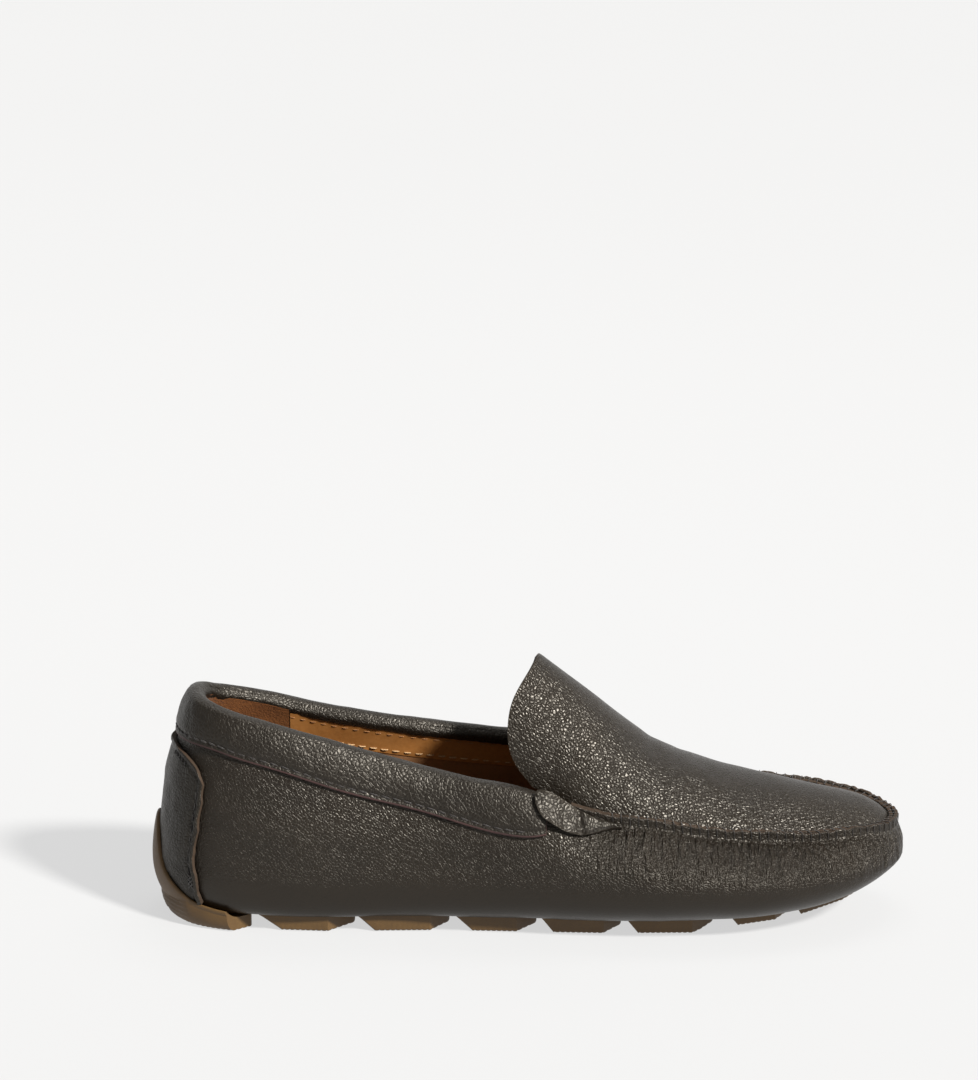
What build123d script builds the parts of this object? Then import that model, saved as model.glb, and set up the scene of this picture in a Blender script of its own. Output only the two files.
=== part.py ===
from build123d import *
import os
import numpy as np

# A right moccasin: a leather wrap that runs under the foot and is gathered to a top plug with a tall
# tongue, a padded collar, a leather lining, a footbed, and rubber sole units under the wrap.
# Millimetres. +X points at the toe, -Y is the outer (lateral) side, +Z is up, and the tread rests on z=0.

# ---------------------------------------------------------------- driving dimensions
# The widest plan outline of the upper, from the toe tip round the lateral side to the heel and back.
OUTLINE = [(143, 4), (134, -20), (105, -39.8), (60, -47.4), (5, -42), (-50, -35.5), (-105, -33), (-131, -21),
           (-138.7, 0), (-131, 21), (-105, 32.5), (-50, 32.5), (5, 39), (60, 46.8), (108, 40.5), (136, 23)]
HEEL_KNOT = 8                 # index of the heel point in OUTLINE

BULGE_Z = 22.0                # height at which the upper is widest
# How far in the rounded lower edge meets the flat bottom, against x.
FEATHER_INSET = [(-140, 7.0), (-105, 6.5), (-84, 6.0), (-45, 7.5), (-15, 10.0), (20, 13.0), (52, 16.0),
                 (85, 15.5), (110, 14.0), (143, 14.0)]
LIP_WIDTH = 8.0               # flat margin of the wrap between that edge and its bottom plate
WALL_POWER = 2.2              # how late the upper wall leans in

BOTTOM_Z = [(-140, 9.0), (-120, 7.2), (-90, 6.5), (0, 6.5), (60, 6.6), (100, 8.6), (125, 12.5), (143, 18.0)]
TREAD_Z = [(-143, 0.0), (65, 0.0), (76, 2.4), (95, 4.5), (106, 5.6), (128, 8.9)]     # straight facets

# Heights along the upper against x on the plan outline. The collar's top edge and its lower seam end
# at the corner of the tongue, where the raised plug seam takes over.
TOP_LATERAL = [(-140, 88.0), (-132, 87.4), (-121, 85.7), (-105, 82.6), (-76, 75.4), (-56, 69.4), (-39, 64.9),
               (-22, 61.3), (1, 56.8), (14, 50.0), (22, 46.0), (30, 43.6), (40, 42.8), (53, 40.9), (70, 37.9),
               (90, 36.2), (110, 34.6), (130, 34.6), (143, 32.6)]
TOP_MEDIAL = [(-140, 88.0), (-131, 86.0), (-120, 83.4), (-106, 80.5), (-87, 76.0), (-56, 70.6), (-31, 66.5),
              (-10, 63.0), (1, 60.5), (14, 54.0), (30, 48.5), (45, 46.0), (65, 43.4), (90, 40.4), (102, 39.4),
              (114, 38.0), (126, 36.0), (143, 32.6)]
TOP_INSET = [(-140, 13.5), (-120, 12.0), (-93, 11.0), (-50, 11.0), (0, 10.0), (14, 11.0), (43, 13.0),
             (65, 14.5), (87, 14.5), (104, 13.0), (125, 7.5), (143, 2.0)]
COLLAR_SEAM_Z = [(-140, 71.2), (-128, 70.9), (-119, 69.9), (-111, 68.1), (-93, 63.8), (-75, 58.1), (-62, 54.3),
                 (-41, 49.3), (-15, 42.7), (-4, 41.2), (3, 41.4), (8, 42.8), (14, 46.0)]
PLUG_CROWN_Z = [(-12, 114.0), (3.4, 101.4), (20, 87.8), (35, 75.4), (42, 69.9), (49, 65.3), (57, 61.6),
                (65, 58.6), (77, 54.5), (88, 51.9), (110, 46.5), (130, 41.5), (140, 38.0)]
PLUG_FULLNESS = [(-12, 1.1), (14, 1.15), (40, 1.3), (70, 1.6), (140, 2.0)]
TONGUE_EDGE = [(3.4, 101.4), (-4.9, 90.7), (-8.0, 77.0), (-5.3, 65.4), (2.7, 55.5)]   # side view, x and z

RIDGE_HEIGHT = 4.2            # the raised plug seam stands this far above its groove
RIDGE_START_X = 14.0          # its back ends, under the rolled tabs
RIDGE_FULL_X = 24.0           # where it has its full height
FLAT_RIDGE = 0.4              # what is left of it behind the collar
MARGIN_ROOT = 1.2             # the margins start this far below the groove
PLUG_FRONT_X = 137.0
LINING_TOE_X = 131.0
TONGUE_BACK_X = -12.0
COLLAR_END_X = 6.0
# The rolled tab: its height against x.
TAB = [(2.5, 6.0), (6.0, 10.5), (12.0, 11.0), (20.0, 7.5), (27.0, 4.2), (33.0, 1.5)]
TAB_THICKNESS = 2.2

LEATHER = 1.6                 # wrap and plug
LINING = 0.9
GLUE_GAP = 0.15
SEAM_GAP = 0.45
PATCH_GAP = 0.35
PATCH_LEATHER = 1.25
COLLAR_LEATHER = 1.4
ROLL_HEIGHT = 5.0             # the rolled top edge
ROLL_THICKNESS = 5.4
WRAP_UNDER_COLLAR = 6.0       # the wrap runs on behind the collar band
COUNTER_TOP_ABOVE_SEAM = 4.0
COUNTER_FRONT_X = -62.0
HEEL_GRIP_FRONT_X = -91.6
LINING_ABOVE_BOTTOM = 9.3
LINING_FRONT_X = 14.0
COLLAR_LINING_HEIGHT = 15.0   # the smooth strip inside, measured down from the top edge
VAMP_LINING_DROP = 4.0
FOAM_FRONT_X = -12.0
FOAM_CLEARANCE = 1.6          # above the wrap's edge
LINING_DEPTH = [(-140, 3.7), (-45, 3.7), (14, 2.4), (60, 2.1), (143, 2.1)]

# Heights of the heel patch and of the heel guard against the arc from the heel centre.
PATCH_TOP = [(0, 68.2), (10.5, 68.2), (19.5, 66.8), (27, 64.2), (31, 60.5), (33, 57.0)]
GUARD_TOP = [(0, 39.0), (3, 38.0), (6, 34.0), (10, 26.0), (18, 17.5), (27, 12.5), (36, 10.0), (49, 8.4)]
PATCH_BOTTOM_Z = 11.0
PATCH_HALF_ARC = 33.0
GUARD_HALF_ARC = 49.0
GUARD_RUBBER = 2.5
GUARD_EDGE = 0.6
GUARD_FILL_DROP = 14.0        # the guard reaches its full thickness this far below its top
TREAD_ROUND_Z = 12.0          # the rubber's outer side turns under below this height
TREAD_EDGE_INSET = 4.5
TREAD_RING_INSET = 12.0
HEEL_BLOCK_BACK_X = -140.0
HEEL_BLOCK_FRONT_X = -107.0

# Tread blocks, each with the x of its heel side at the top and at the tread, the x where its toe side
# starts to be cut off at the corners, and the x of its toe side.
BLOCKS = [(-102.5, -93.0, -75.6, -65.6), (-64.6, -57.8, -37.0, -29.8), (-28.0, -21.0, -4.4, 3.2),
          (4.4, 9.5, 28.2, 35.2), (36.4, 41.4, 61.8, 70.0), (75.6, 79.0, 93.0, 99.6),
          (101.2, 103.0, 119.0, 127.5)]
BLOCK_CORNER = 10.0           # across the sole, the corner cut of a block
NECK_MARGIN = 4.0             # a block's neck through the wrap is this much smaller than the block
NECK_FRONT_LIMIT = 112.0
WINDOW_CLEARANCE = 0.3

# The bottom's layers, each from and to heights above the underside of the wrap.
CARRIER_LAYER = (1.9, 3.1)
BOARD_LAYER = (3.25, 4.75)
FOAM_LAYER = (4.9, 7.9)
SOCK_LAYER = (8.05, 9.0)
CARRIER_X = (-104.5, 125.0)
BOARD_X = (-136.0, 126.0)
HEEL_CUSHION_FRONT_X = -70.0
FOOTBED_SHARE = 0.5           # of the feather inset
FOOTBED_MARGIN = 4.0

SEAM_PITCH = 3.3              # overcast stitches along the plug seam
STITCH_PITCH = 4.2
STITCH = (2.4, 0.6, 0.35)     # length, width and height of a lying stitch
STAPLE_THREAD = 0.6


# ---------------------------------------------------------------- curves
def smooth(knots):
    """A function that runs smoothly through (x, value) knots and is flat beyond both ends."""
    xs, ys = np.array(knots, float).T
    count = len(xs)
    step = np.diff(xs)
    matrix = np.eye(count)
    slope_change = np.zeros(count)
    for i in range(1, count - 1):
        matrix[i, i - 1:i + 2] = step[i - 1], 2 * (step[i - 1] + step[i]), step[i]
        slope_change[i] = 6 * ((ys[i + 1] - ys[i]) / step[i] - (ys[i] - ys[i - 1]) / step[i - 1])
    bend = np.linalg.solve(matrix, slope_change)

    def value(x):
        x = np.clip(x, xs[0], xs[-1])
        i = np.clip(np.searchsorted(xs, x) - 1, 0, count - 2)
        a, b, h = xs[i + 1] - x, x - xs[i], step[i]
        return ((bend[i] * a ** 3 + bend[i + 1] * b ** 3) / (6 * h)
                + (ys[i] / h - bend[i] * h / 6) * a + (ys[i + 1] / h - bend[i + 1] * h / 6) * b)

    return value


def closed_curve(points):
    """Point and derivative functions of a smooth closed plan curve, and its knots' chord lengths."""
    points = np.array(points, float)
    count = len(points)
    step = np.linalg.norm(np.roll(points, -1, axis=0) - points, axis=1)
    knots = np.concatenate([[0], np.cumsum(step)])
    matrix = np.zeros((count, count))
    right = np.zeros((count, 2))
    for i in range(count):
        before, after = step[i - 1], step[i]
        matrix[i, i - 1] = before
        matrix[i, i] = 2 * (before + after)
        matrix[i, (i + 1) % count] = after
        right[i] = 6 * ((points[(i + 1) % count] - points[i]) / after - (points[i] - points[i - 1]) / before)
    bend = np.linalg.solve(matrix, right)

    def at(t, derivative=False):
        t = t % knots[-1]
        i = int(np.clip(np.searchsorted(knots, t, side="right") - 1, 0, count - 1))
        j = (i + 1) % count
        a, b, h = knots[i + 1] - t, t - knots[i], step[i]
        if derivative:
            return ((bend[j] * b ** 2 - bend[i] * a ** 2) / (2 * h)
                    + (points[j] - points[i]) / h - (bend[j] - bend[i]) * h / 6)
        return ((bend[i] * a ** 3 + bend[j] * b ** 3) / (6 * h)
                + (points[i] / h - bend[i] * h / 6) * a + (points[j] / h - bend[j] * h / 6) * b)

    return at, knots


outline_at, outline_knots = closed_curve(OUTLINE)
T_END = outline_knots[-1]
T_HEEL = outline_knots[HEEL_KNOT]

bottom_z = smooth(BOTTOM_Z)
top_lateral = smooth(TOP_LATERAL)
top_medial = smooth(TOP_MEDIAL)
top_inset = smooth(TOP_INSET)
collar_seam_z = smooth(COLLAR_SEAM_Z)
crown_z = smooth(PLUG_CROWN_Z)
fullness = smooth(PLUG_FULLNESS)
feather_inset = smooth(FEATHER_INSET)
lining_depth = smooth(LINING_DEPTH)
patch_top = smooth(PATCH_TOP)
guard_top = smooth(GUARD_TOP)

_table_t = np.linspace(0, T_END, 1601)
_table_x = np.array([outline_at(t)[0] for t in _table_t])


def t_at(x, lateral):
    """Where on the outline x is reached, on the lateral or the medial side."""
    part = (_table_t <= T_HEEL) if lateral else (_table_t >= T_HEEL)
    ts, xs = _table_t[part], _table_x[part]
    order = np.argsort(xs)
    return float(np.interp(x, xs[order], ts[order]))


def frame_at(t):
    """Plan point of the outline and its inward direction."""
    point = outline_at(t)
    along = outline_at(t, derivative=True)
    along = along / np.linalg.norm(along)
    return point, np.array([along[1], -along[0]])


def reference_top(t):
    x = outline_at(t)[0]
    return float(top_lateral(x) if t % T_END <= T_HEEL else top_medial(x))


def place(t, inset, z):
    point, inward = frame_at(t)
    return (*(point + inward * inset), z)


def local_bottom(t, inset):
    point, inward = frame_at(t)
    return float(bottom_z(point[0] + inward[0] * inset))


def feather_at(t):
    return float(feather_inset(outline_at(t)[0]))


def rounding_angle(t, z):
    drop = BULGE_Z - local_bottom(t, feather_at(t) / 2)
    return float(np.arcsin(np.clip((BULGE_Z - z) / drop, 0.0, 1.0)))


def wall(t, z, depth):
    """The upper's wall at height z, and depth further in: negative depths stand proud."""
    x = outline_at(t)[0]
    lean = float(top_inset(x))
    if z >= BULGE_Z:
        rise = reference_top(t) - BULGE_Z
        part = (z - BULGE_Z) / rise
        inset = lean * part ** WALL_POWER
        slope = lean * WALL_POWER * part ** (WALL_POWER - 1) / rise
        scale = (1 + slope ** 2) ** 0.5
        return place(t, inset + depth / scale, z - depth * slope / scale)
    return rounded(t, rounding_angle(t, z), depth)


def rounded(t, angle, depth):
    """The rounded lower edge: angle 0 is the bulge and a quarter turn is the flat bottom."""
    feather = feather_at(t)
    inset = feather * (1 - np.cos(angle))
    drop = BULGE_Z - local_bottom(t, inset)
    z = BULGE_Z - drop * np.sin(angle)
    inward = np.array([drop * np.cos(angle), feather * np.sin(angle)])
    inward = inward / np.linalg.norm(inward)
    return place(t, inset + depth * inward[0], z + depth * inward[1])


# ---------------------------------------------------------------- builders
def closed_wire(*rows):
    """A closed section: each row of points is a smooth edge, and straight edges join the rows."""
    edges = []
    for row, following in zip(rows, rows[1:] + rows[:1]):
        if len(row) > 1:
            edges.append(Spline(*row) if len(row) > 2 else Line(*row))
        edges.append(Line(row[-1], following[0]))
    return Wire(edges)


def wall_patch(start, end, count, low, high, outer_depth, inner_depth, rows=6):
    """A sheet along the wall from t=start to t=end; heights and depths are functions of t."""
    sections = []
    for t in np.linspace(start, end, count):
        heights = np.linspace(low(t), high(t), rows)
        outer = [wall(t, z, outer_depth(t)) for z in heights]
        inner = [wall(t, z, inner_depth(t)) for z in heights]
        sections.append(closed_wire(outer, inner[::-1]))
    return Solid.make_loft(sections)


def closer_at_ends(start, end, count):
    """Stations that crowd together where the outline bends most, at the toe and the heel."""
    share = np.linspace(0, 1, count)
    return start + (end - start) * (share - 0.6 * np.sin(2 * np.pi * share) / (2 * np.pi))


def constant(value):
    return lambda t: value


def along_x(curve, offset=0.0):
    """A function of t that reads a curve of x."""
    return lambda t: float(curve(outline_at(t)[0])) + offset


def plan_face(inset, count=44):
    """The plan outline as a face, moved in by a function of t."""
    points = [place(t, inset(t), 0)[:2] for t in np.linspace(0, T_END, count, endpoint=False)]
    return make_face(Spline(*points, periodic=True))


def side_band(x_low, x_high):
    return Pos((x_low + x_high) / 2, 0, 0) * Box(x_high - x_low, 200, 200)


def rocker_slab(low, high, x_low=-150.0, x_high=150.0, count=41):
    """A slab across the whole sole between two side-view curves."""
    xs = np.linspace(x_low, x_high, count)
    lower = [(x, float(low(x))) for x in xs]
    upper = [(x, float(high(x))) for x in xs]
    face = Plane.XZ * Face(closed_wire(lower, upper[::-1]))
    return extrude(face, amount=100, both=True)


def bottom_layer(inset, layer):
    """A layer of the bottom between two heights above the underside of the wrap."""
    low, high = layer
    prism = extrude(plan_face(inset), amount=60)
    return prism & rocker_slab(lambda x: bottom_z(x) + low, lambda x: bottom_z(x) + high)


def stitch_on(point, along, outward):
    """One lying stitch centred on a point of a surface."""
    length, width, height = STITCH
    plane = Plane(origin=point, x_dir=along, z_dir=outward)
    return plane * Pos(0, 0, height / 2) * Box(length, width, height)


def stitch_row(start, end, height, depth, facing_out=True, pitch=STITCH_PITCH):
    """Stitches along the wall at a height that is a function of t, lying at a depth that is one too."""
    count = int(abs(end - start) / pitch)
    stitches = []
    for t in np.linspace(start, end, count):
        here = Vector(wall(t, height(t), depth(t)))
        ahead = Vector(wall(t + 0.5, height(t + 0.5), depth(t + 0.5)))
        deeper = Vector(wall(t, height(t), depth(t) + 1.0))
        outward = (here - deeper) if facing_out else (deeper - here)
        stitches.append(stitch_on(here, (ahead - here).normalized(), outward.normalized()))
    return Compound(stitches)


# ---------------------------------------------------------------- the wrap
def wrap_top(t):
    """Where the wrap's wall ends: behind the collar band, or in the groove of the plug seam."""
    x = outline_at(t)[0]
    if x > RIDGE_START_X:
        return reference_top(t)
    return min(float(collar_seam_z(x)) + WRAP_UNDER_COLLAR, reference_top(t))


def ridge_rise(x):
    """Height of the upturned margins in the plug seam."""
    return float(np.interp(x, [RIDGE_START_X - 6, RIDGE_FULL_X], [FLAT_RIDGE, RIDGE_HEIGHT]))


def ridge_inset(t):
    """Inset of the outer face of the plug seam."""
    point, inward = frame_at(t)
    return float(np.dot(np.array(wall(t, wrap_top(t), 0.0)[:2]) - point, inward))


def wrap_section(t):
    lip_end = feather_at(t) + LIP_WIDTH
    lip_middle = lip_end - LIP_WIDTH / 2
    angles = np.array([1.0, 0.72, 0.45, 0.2]) * np.pi / 2
    rows = []
    for depth in (0.0, LEATHER):
        lip = [place(t, inset, local_bottom(t, inset) + depth) for inset in (lip_end, lip_middle)]
        turn = [rounded(t, angle, depth) for angle in angles]
        side = [wall(t, z, depth) for z in np.linspace(BULGE_Z, wrap_top(t), 5)]
        rows.append(lip + turn + side)
    outer, inner = rows
    inset, groove = ridge_inset(t), outer[-1][2]
    tip = groove + ridge_rise(outline_at(t)[0])
    inner[-1] = place(t, inset + LEATHER, groove - LEATHER * 0.55)
    margin = [place(t, inset, tip), place(t, inset + LEATHER, tip)]
    return closed_wire(outer, margin[:1], margin[1:], inner[::-1])


def neck_boxes(clearance):
    """The rubber necks that join the tread blocks to their carrier, or the windows for them."""
    necks = []
    for x_back, _, _, x_front in BLOCKS:
        middle = (x_back + x_front) / 2
        y_low, y_high = tread_sides(middle)
        neck_back, neck_front = x_back + NECK_MARGIN, min(x_front - NECK_MARGIN, NECK_FRONT_LIMIT)
        length = neck_front - neck_back + 2 * clearance
        width = y_high - y_low - 2 * LIP_WIDTH - 2 * NECK_MARGIN + 2 * clearance
        base = Pos((neck_back + neck_front) / 2, (y_low + y_high) / 2, float(bottom_z(middle)))
        necks.append(base * Box(length, width, 2 * (CARRIER_LAYER[0] + 0.3)))
    return necks


def make_wrap():
    halves = [Solid.make_loft([wrap_section(t) for t in closer_at_ends(start, end, 24)])
              for start, end in ((0, T_HEEL), (T_HEEL, T_END))]
    plate = bottom_layer(lambda t: feather_at(t) + LIP_WIDTH / 2, (0.2, LEATHER - 0.2))
    for window in neck_boxes(WINDOW_CLEARANCE):
        plate -= window
    return halves[0] + halves[1] + plate


# ---------------------------------------------------------------- the plug, the tongue and their lining
def edge_gap(x):
    """From the outer face of the seam to the plug: beside the wrap's margin, or inside the collar roll."""
    return float(np.interp(x, [COLLAR_END_X, RIDGE_FULL_X], [5.0, LEATHER + SEAM_GAP]))


def edge_y(x, lateral, further_in):
    """The plug's edge at x, on one side, and further_in towards the middle along the plan normal."""
    ts = np.linspace(0, T_HEEL, 161) if lateral else np.linspace(T_HEEL, T_END, 161)
    points = []
    for t in ts:
        base_x = outline_at(t)[0]
        points.append(place(t, ridge_inset_smooth(t) + edge_gap(base_x) + further_in, 0)[:2])
    xs, ys = np.array(points).T
    order = np.argsort(xs)
    return float(np.interp(x, xs[order], ys[order]))


def ridge_inset_smooth(t):
    return float(top_inset(outline_at(t)[0]))


def groove_z(x, lateral):
    return float(top_lateral(x) if lateral else top_medial(x))


def arch(x, further_in, lower, crown_lower, count=13):
    """One arched row across the plug at x, from the lateral to the medial edge."""
    y_left, y_right = edge_y(x, True, further_in), edge_y(x, False, further_in)
    z_left, z_right = groove_z(x, True) - lower, groove_z(x, False) - lower
    middle, half = (y_left + y_right) / 2, (y_right - y_left) / 2
    crown = float(crown_z(x)) - crown_lower
    power = float(fullness(x))
    row = []
    for angle in np.linspace(-np.pi / 2, np.pi / 2, count):
        share = (1 + np.sin(angle)) / 2
        base = z_left * (1 - share) + z_right * share
        lift = max(0.0, float(np.cos(angle))) ** power
        row.append((x, middle + half * float(np.sin(angle)), base + (crown - (z_left + z_right) / 2) * lift))
    return row


def margin_section(x, lateral):
    """The plug's upturned margin in the raised seam, on one side."""
    outer, inner = edge_y(x, lateral, 0.0), edge_y(x, lateral, LEATHER)
    groove = groove_z(x, lateral)
    low, high = groove - MARGIN_ROOT, groove + ridge_rise(x)
    corners = [(x, outer, low), (x, outer, high), (x, inner, high), (x, inner, low)]
    return Wire(Polyline(*corners, close=True).edges())


def sheet_section(x, top_offsets, under_offsets):
    return closed_wire(arch(x, *top_offsets), arch(x, *under_offsets)[::-1])


def tongue_trim(retreat):
    """What is cut away behind the tongue's free edge."""
    edge = [(x + retreat, z - retreat * 0.3) for x, z in TONGUE_EDGE]
    back = TONGUE_BACK_X - 20
    far_corners = Polyline(edge[-1], (edge[-1][0], 30), (back, 30), (back, 140), (edge[0][0], 140), edge[0])
    outline = Wire([Spline(*edge), *far_corners.edges()])
    return extrude(Plane.XZ * Face(outline), amount=80, both=True)


def plug_stations(front):
    return np.append(np.linspace(TONGUE_BACK_X, 118, 19), [front - 6, front])


def make_apron():
    """The plug and the tongue are one sheet, whose edges turn up into the raised seam."""
    top = (LEATHER / 2, 0.1, 0.0)
    under = (LEATHER / 2 + 1.3, 0.8, LEATHER)
    sections = [sheet_section(x, top, under) for x in plug_stations(PLUG_FRONT_X)]
    apron = Solid.make_loft(sections) - tongue_trim(0.0)
    margin_x = np.append(np.linspace(RIDGE_START_X, 120, 14), [128, 133, PLUG_FRONT_X])
    for lateral in (True, False):
        apron += Solid.make_loft([margin_section(x, lateral) for x in margin_x])
    return apron


def make_apron_lining():
    top = (2 * LEATHER + 0.35, 1.4, LEATHER + GLUE_GAP)
    under = (2 * LEATHER + 0.35 + LINING, 1.6, LEATHER + GLUE_GAP + LINING)
    sections = [sheet_section(x, top, under) for x in plug_stations(LINING_TOE_X)]
    return Solid.make_loft(sections) - tongue_trim(1.5)


# ---------------------------------------------------------------- collar, linings and heel
def collar_range():
    return t_at(COLLAR_END_X, True), t_at(COLLAR_END_X, False)


def make_collar_band():
    start, end = collar_range()
    return wall_patch(start, end, 33, along_x(collar_seam_z), lambda t: lining_high(t) + 0.6 - GLUE_GAP,
                      constant(-COLLAR_LEATHER - 2 * GLUE_GAP), constant(-2 * GLUE_GAP))


def make_topline_binding():
    start, end = collar_range()
    half_height, half_thickness = ROLL_HEIGHT / 2, ROLL_THICKNESS / 2
    middle_depth = half_thickness - COLLAR_LEATHER
    sections = []
    for t in np.linspace(start, end, 37):
        ring = []
        for angle in np.linspace(0, 2 * np.pi, 10, endpoint=False):
            z = reference_top(t) - half_height * (1 - np.sin(angle))
            ring.append(wall(t, z, middle_depth + half_thickness * np.cos(angle)))
        sections.append(Wire([Spline(*ring, periodic=True)]))
    return Solid.make_loft(sections)


def make_collar_foam():
    return wall_patch(t_at(FOAM_FRONT_X, True), t_at(FOAM_FRONT_X, False), 29,
                      along_x(collar_seam_z, WRAP_UNDER_COLLAR + FOAM_CLEARANCE), lining_high,
                      constant(0.0), along_x(lining_depth, -GLUE_GAP))


def make_heel_counter():
    return wall_patch(t_at(COUNTER_FRONT_X, True), t_at(COUNTER_FRONT_X, False), 25, lining_low,
                      along_x(collar_seam_z, COUNTER_TOP_ABOVE_SEAM), constant(LEATHER + 2 * GLUE_GAP),
                      along_x(lining_depth, -GLUE_GAP))


def lining_low(t):
    return local_bottom(t, feather_at(t)) + LINING_ABOVE_BOTTOM


def lining_high(t):
    return reference_top(t) - ROLL_HEIGHT - 0.6


def lining_strip_low(t):
    return reference_top(t) - COLLAR_LINING_HEIGHT


def lining_patch(start, end, count, low, high):
    return wall_patch(start, end, count, low, high, along_x(lining_depth), along_x(lining_depth, LINING))


def make_heel_grip():
    start, end = t_at(HEEL_GRIP_FRONT_X, True), t_at(HEEL_GRIP_FRONT_X, False)
    return lining_patch(start, end, 25, lining_low, lining_high)


def lining_span(lateral):
    span = t_at(HEEL_GRIP_FRONT_X + 0.4, lateral), t_at(LINING_FRONT_X, lateral)
    return min(span), max(span)


def make_quarter_lining(lateral):
    start, end = lining_span(lateral)
    return lining_patch(start, end, 15, lining_low, lambda t: lining_strip_low(t) - GLUE_GAP)


def make_collar_lining(lateral):
    start, end = lining_span(lateral)
    return lining_patch(start, end, 15, lining_strip_low, lining_high)


def make_vamp_lining():
    start, end = t_at(LINING_FRONT_X + 0.4, False), t_at(LINING_FRONT_X + 0.4, True) + T_END
    return lining_patch(start, end, 31, lining_low, lambda t: reference_top(t) - VAMP_LINING_DROP)


def from_heel(curve):
    return lambda t: float(curve(abs(t - T_HEEL)))


def make_heel_patch():
    start, end = T_HEEL - PATCH_HALF_ARC, T_HEEL + PATCH_HALF_ARC
    return wall_patch(start, end, 21, constant(PATCH_BOTTOM_Z), from_heel(patch_top),
                      constant(-PATCH_LEATHER - PATCH_GAP), constant(-PATCH_GAP), rows=9)


def make_tab(lateral):
    height = smooth(TAB)
    start, end = sorted((t_at(TAB[0][0], lateral), t_at(TAB[-1][0], lateral)))

    def inner(t):
        x, over_collar = outline_at(t)[0], -COLLAR_LEATHER - 3 * GLUE_GAP
        return float(np.interp(x, [COLLAR_END_X + 1, COLLAR_END_X + 6], [over_collar, -2 * GLUE_GAP]))

    return wall_patch(start, end, 13, lambda t: reference_top(t) - 0.8 - float(height(outline_at(t)[0])),
                      lambda t: reference_top(t) - 0.8, lambda t: inner(t) - TAB_THICKNESS, inner)


# ---------------------------------------------------------------- the bottom
def footbed_inset(t):
    return feather_at(t) * FOOTBED_SHARE + FOOTBED_MARGIN


def between(solid, x_low, x_high):
    return solid & side_band(x_low, x_high)


def tread_sides(x):
    """Where the tread ends on the lateral and on the medial side."""
    sides = []
    for ts in (np.linspace(0, T_HEEL, 161), np.linspace(T_HEEL, T_END, 161)):
        xs, ys = np.array([place(t, feather_at(t) + 0.5, 0)[:2] for t in ts]).T
        order = np.argsort(xs)
        sides.append(float(np.interp(x, xs[order], ys[order])))
    return sides


def tread_line(x_low, x_high):
    """The tread in side view between two x: flat to the ball, then straight facets that rise to the toe."""
    knots_x, knots_z = zip(*TREAD_Z)
    xs = [x_low, *(x for x in knots_x if x_low < x < x_high), x_high]
    return [(x, float(np.interp(x, knots_x, knots_z))) for x in xs]


def make_block(x_back, x_tread, x_corner, x_front):
    """A tread block: it follows the sole's edge, is bevelled towards the heel, and has its toe corners cut."""
    back_low, back_high = tread_sides(x_back)
    low, high = tread_sides(x_corner)
    plan = Polyline((x_back, back_low), (x_corner, low), (x_front, low + BLOCK_CORNER),
                    (x_front, high - BLOCK_CORNER), (x_corner, high), (x_back, back_high), close=True)
    side = Polyline((x_back, 30), (x_back, float(bottom_z(x_back))), *tread_line(x_tread, x_front + 1),
                    (x_front + 1, 30), close=True)
    columns = extrude(make_face(plan), amount=30) & extrude(Plane.XZ * make_face(side), amount=80, both=True)
    return columns & rocker_slab(lambda x: 0.0 * x - 5, lambda x: bottom_z(x) - 2 * GLUE_GAP)


def make_front_sole_unit():
    carrier = between(bottom_layer(lambda t: feather_at(t) + 0.5, CARRIER_LAYER), *CARRIER_X)
    unit = carrier
    for neck in neck_boxes(0.0):
        unit += neck
    for block in BLOCKS:
        unit += make_block(*block)
    return unit


def guard_section(t):
    """The heel rubber at t: up the back as a guard, round under the heel and down to the tread."""
    gap = -PATCH_LEATHER - PATCH_GAP - GLUE_GAP
    top = float(guard_top(abs(t - T_HEEL)))
    if top > BULGE_Z:
        heights = [wall(t, z, gap) for z in (top, (top + BULGE_Z) / 2)]
        inner = heights + [rounded(t, angle, gap) for angle in np.linspace(0, np.pi / 2, 5)]
    else:
        inner = [rounded(t, angle, gap) for angle in np.linspace(rounding_angle(t, top), np.pi / 2, 7)]
    turn_z = min(TREAD_ROUND_Z, top - 1.0)

    def outer_at(z):
        fill = min(1.0, (top - z) / GUARD_FILL_DROP) ** 0.5
        return wall(t, z, gap - GUARD_EDGE - (GUARD_RUBBER - GUARD_EDGE) * fill)

    point, inward = frame_at(t)
    upper = [outer_at(z) for z in np.linspace(top, turn_z, 5)]
    turn_inset = float(np.dot(np.array(upper[-1][:2]) - point, inward))
    turn_height = upper[-1][2]
    lower = []
    for share in (0.6, 0.3, 0.1, 0.0):
        out = (1 - (1 - share) ** 2) ** 0.5
        lower.append(place(t, TREAD_EDGE_INSET - (TREAD_EDGE_INSET - turn_inset) * out, share * turn_height))
    ring_top = inner[-1][2]
    floor = [place(t, TREAD_RING_INSET, 0.0), place(t, TREAD_RING_INSET, ring_top)]
    return closed_wire(upper + lower, floor[:1], floor[1:], inner[::-1])


def make_heel_sole_unit():
    stations = np.linspace(T_HEEL - GUARD_HALF_ARC, T_HEEL + GUARD_HALF_ARC, 25)
    ring = Solid.make_loft([guard_section(t) for t in stations])
    fill = extrude(plan_face(constant(TREAD_RING_INSET - 2.0)), amount=60)
    fill = fill & rocker_slab(lambda x: 0.0 * x, lambda x: bottom_z(x) - GLUE_GAP)
    return ring + between(fill, HEEL_BLOCK_BACK_X, HEEL_BLOCK_FRONT_X)


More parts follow.
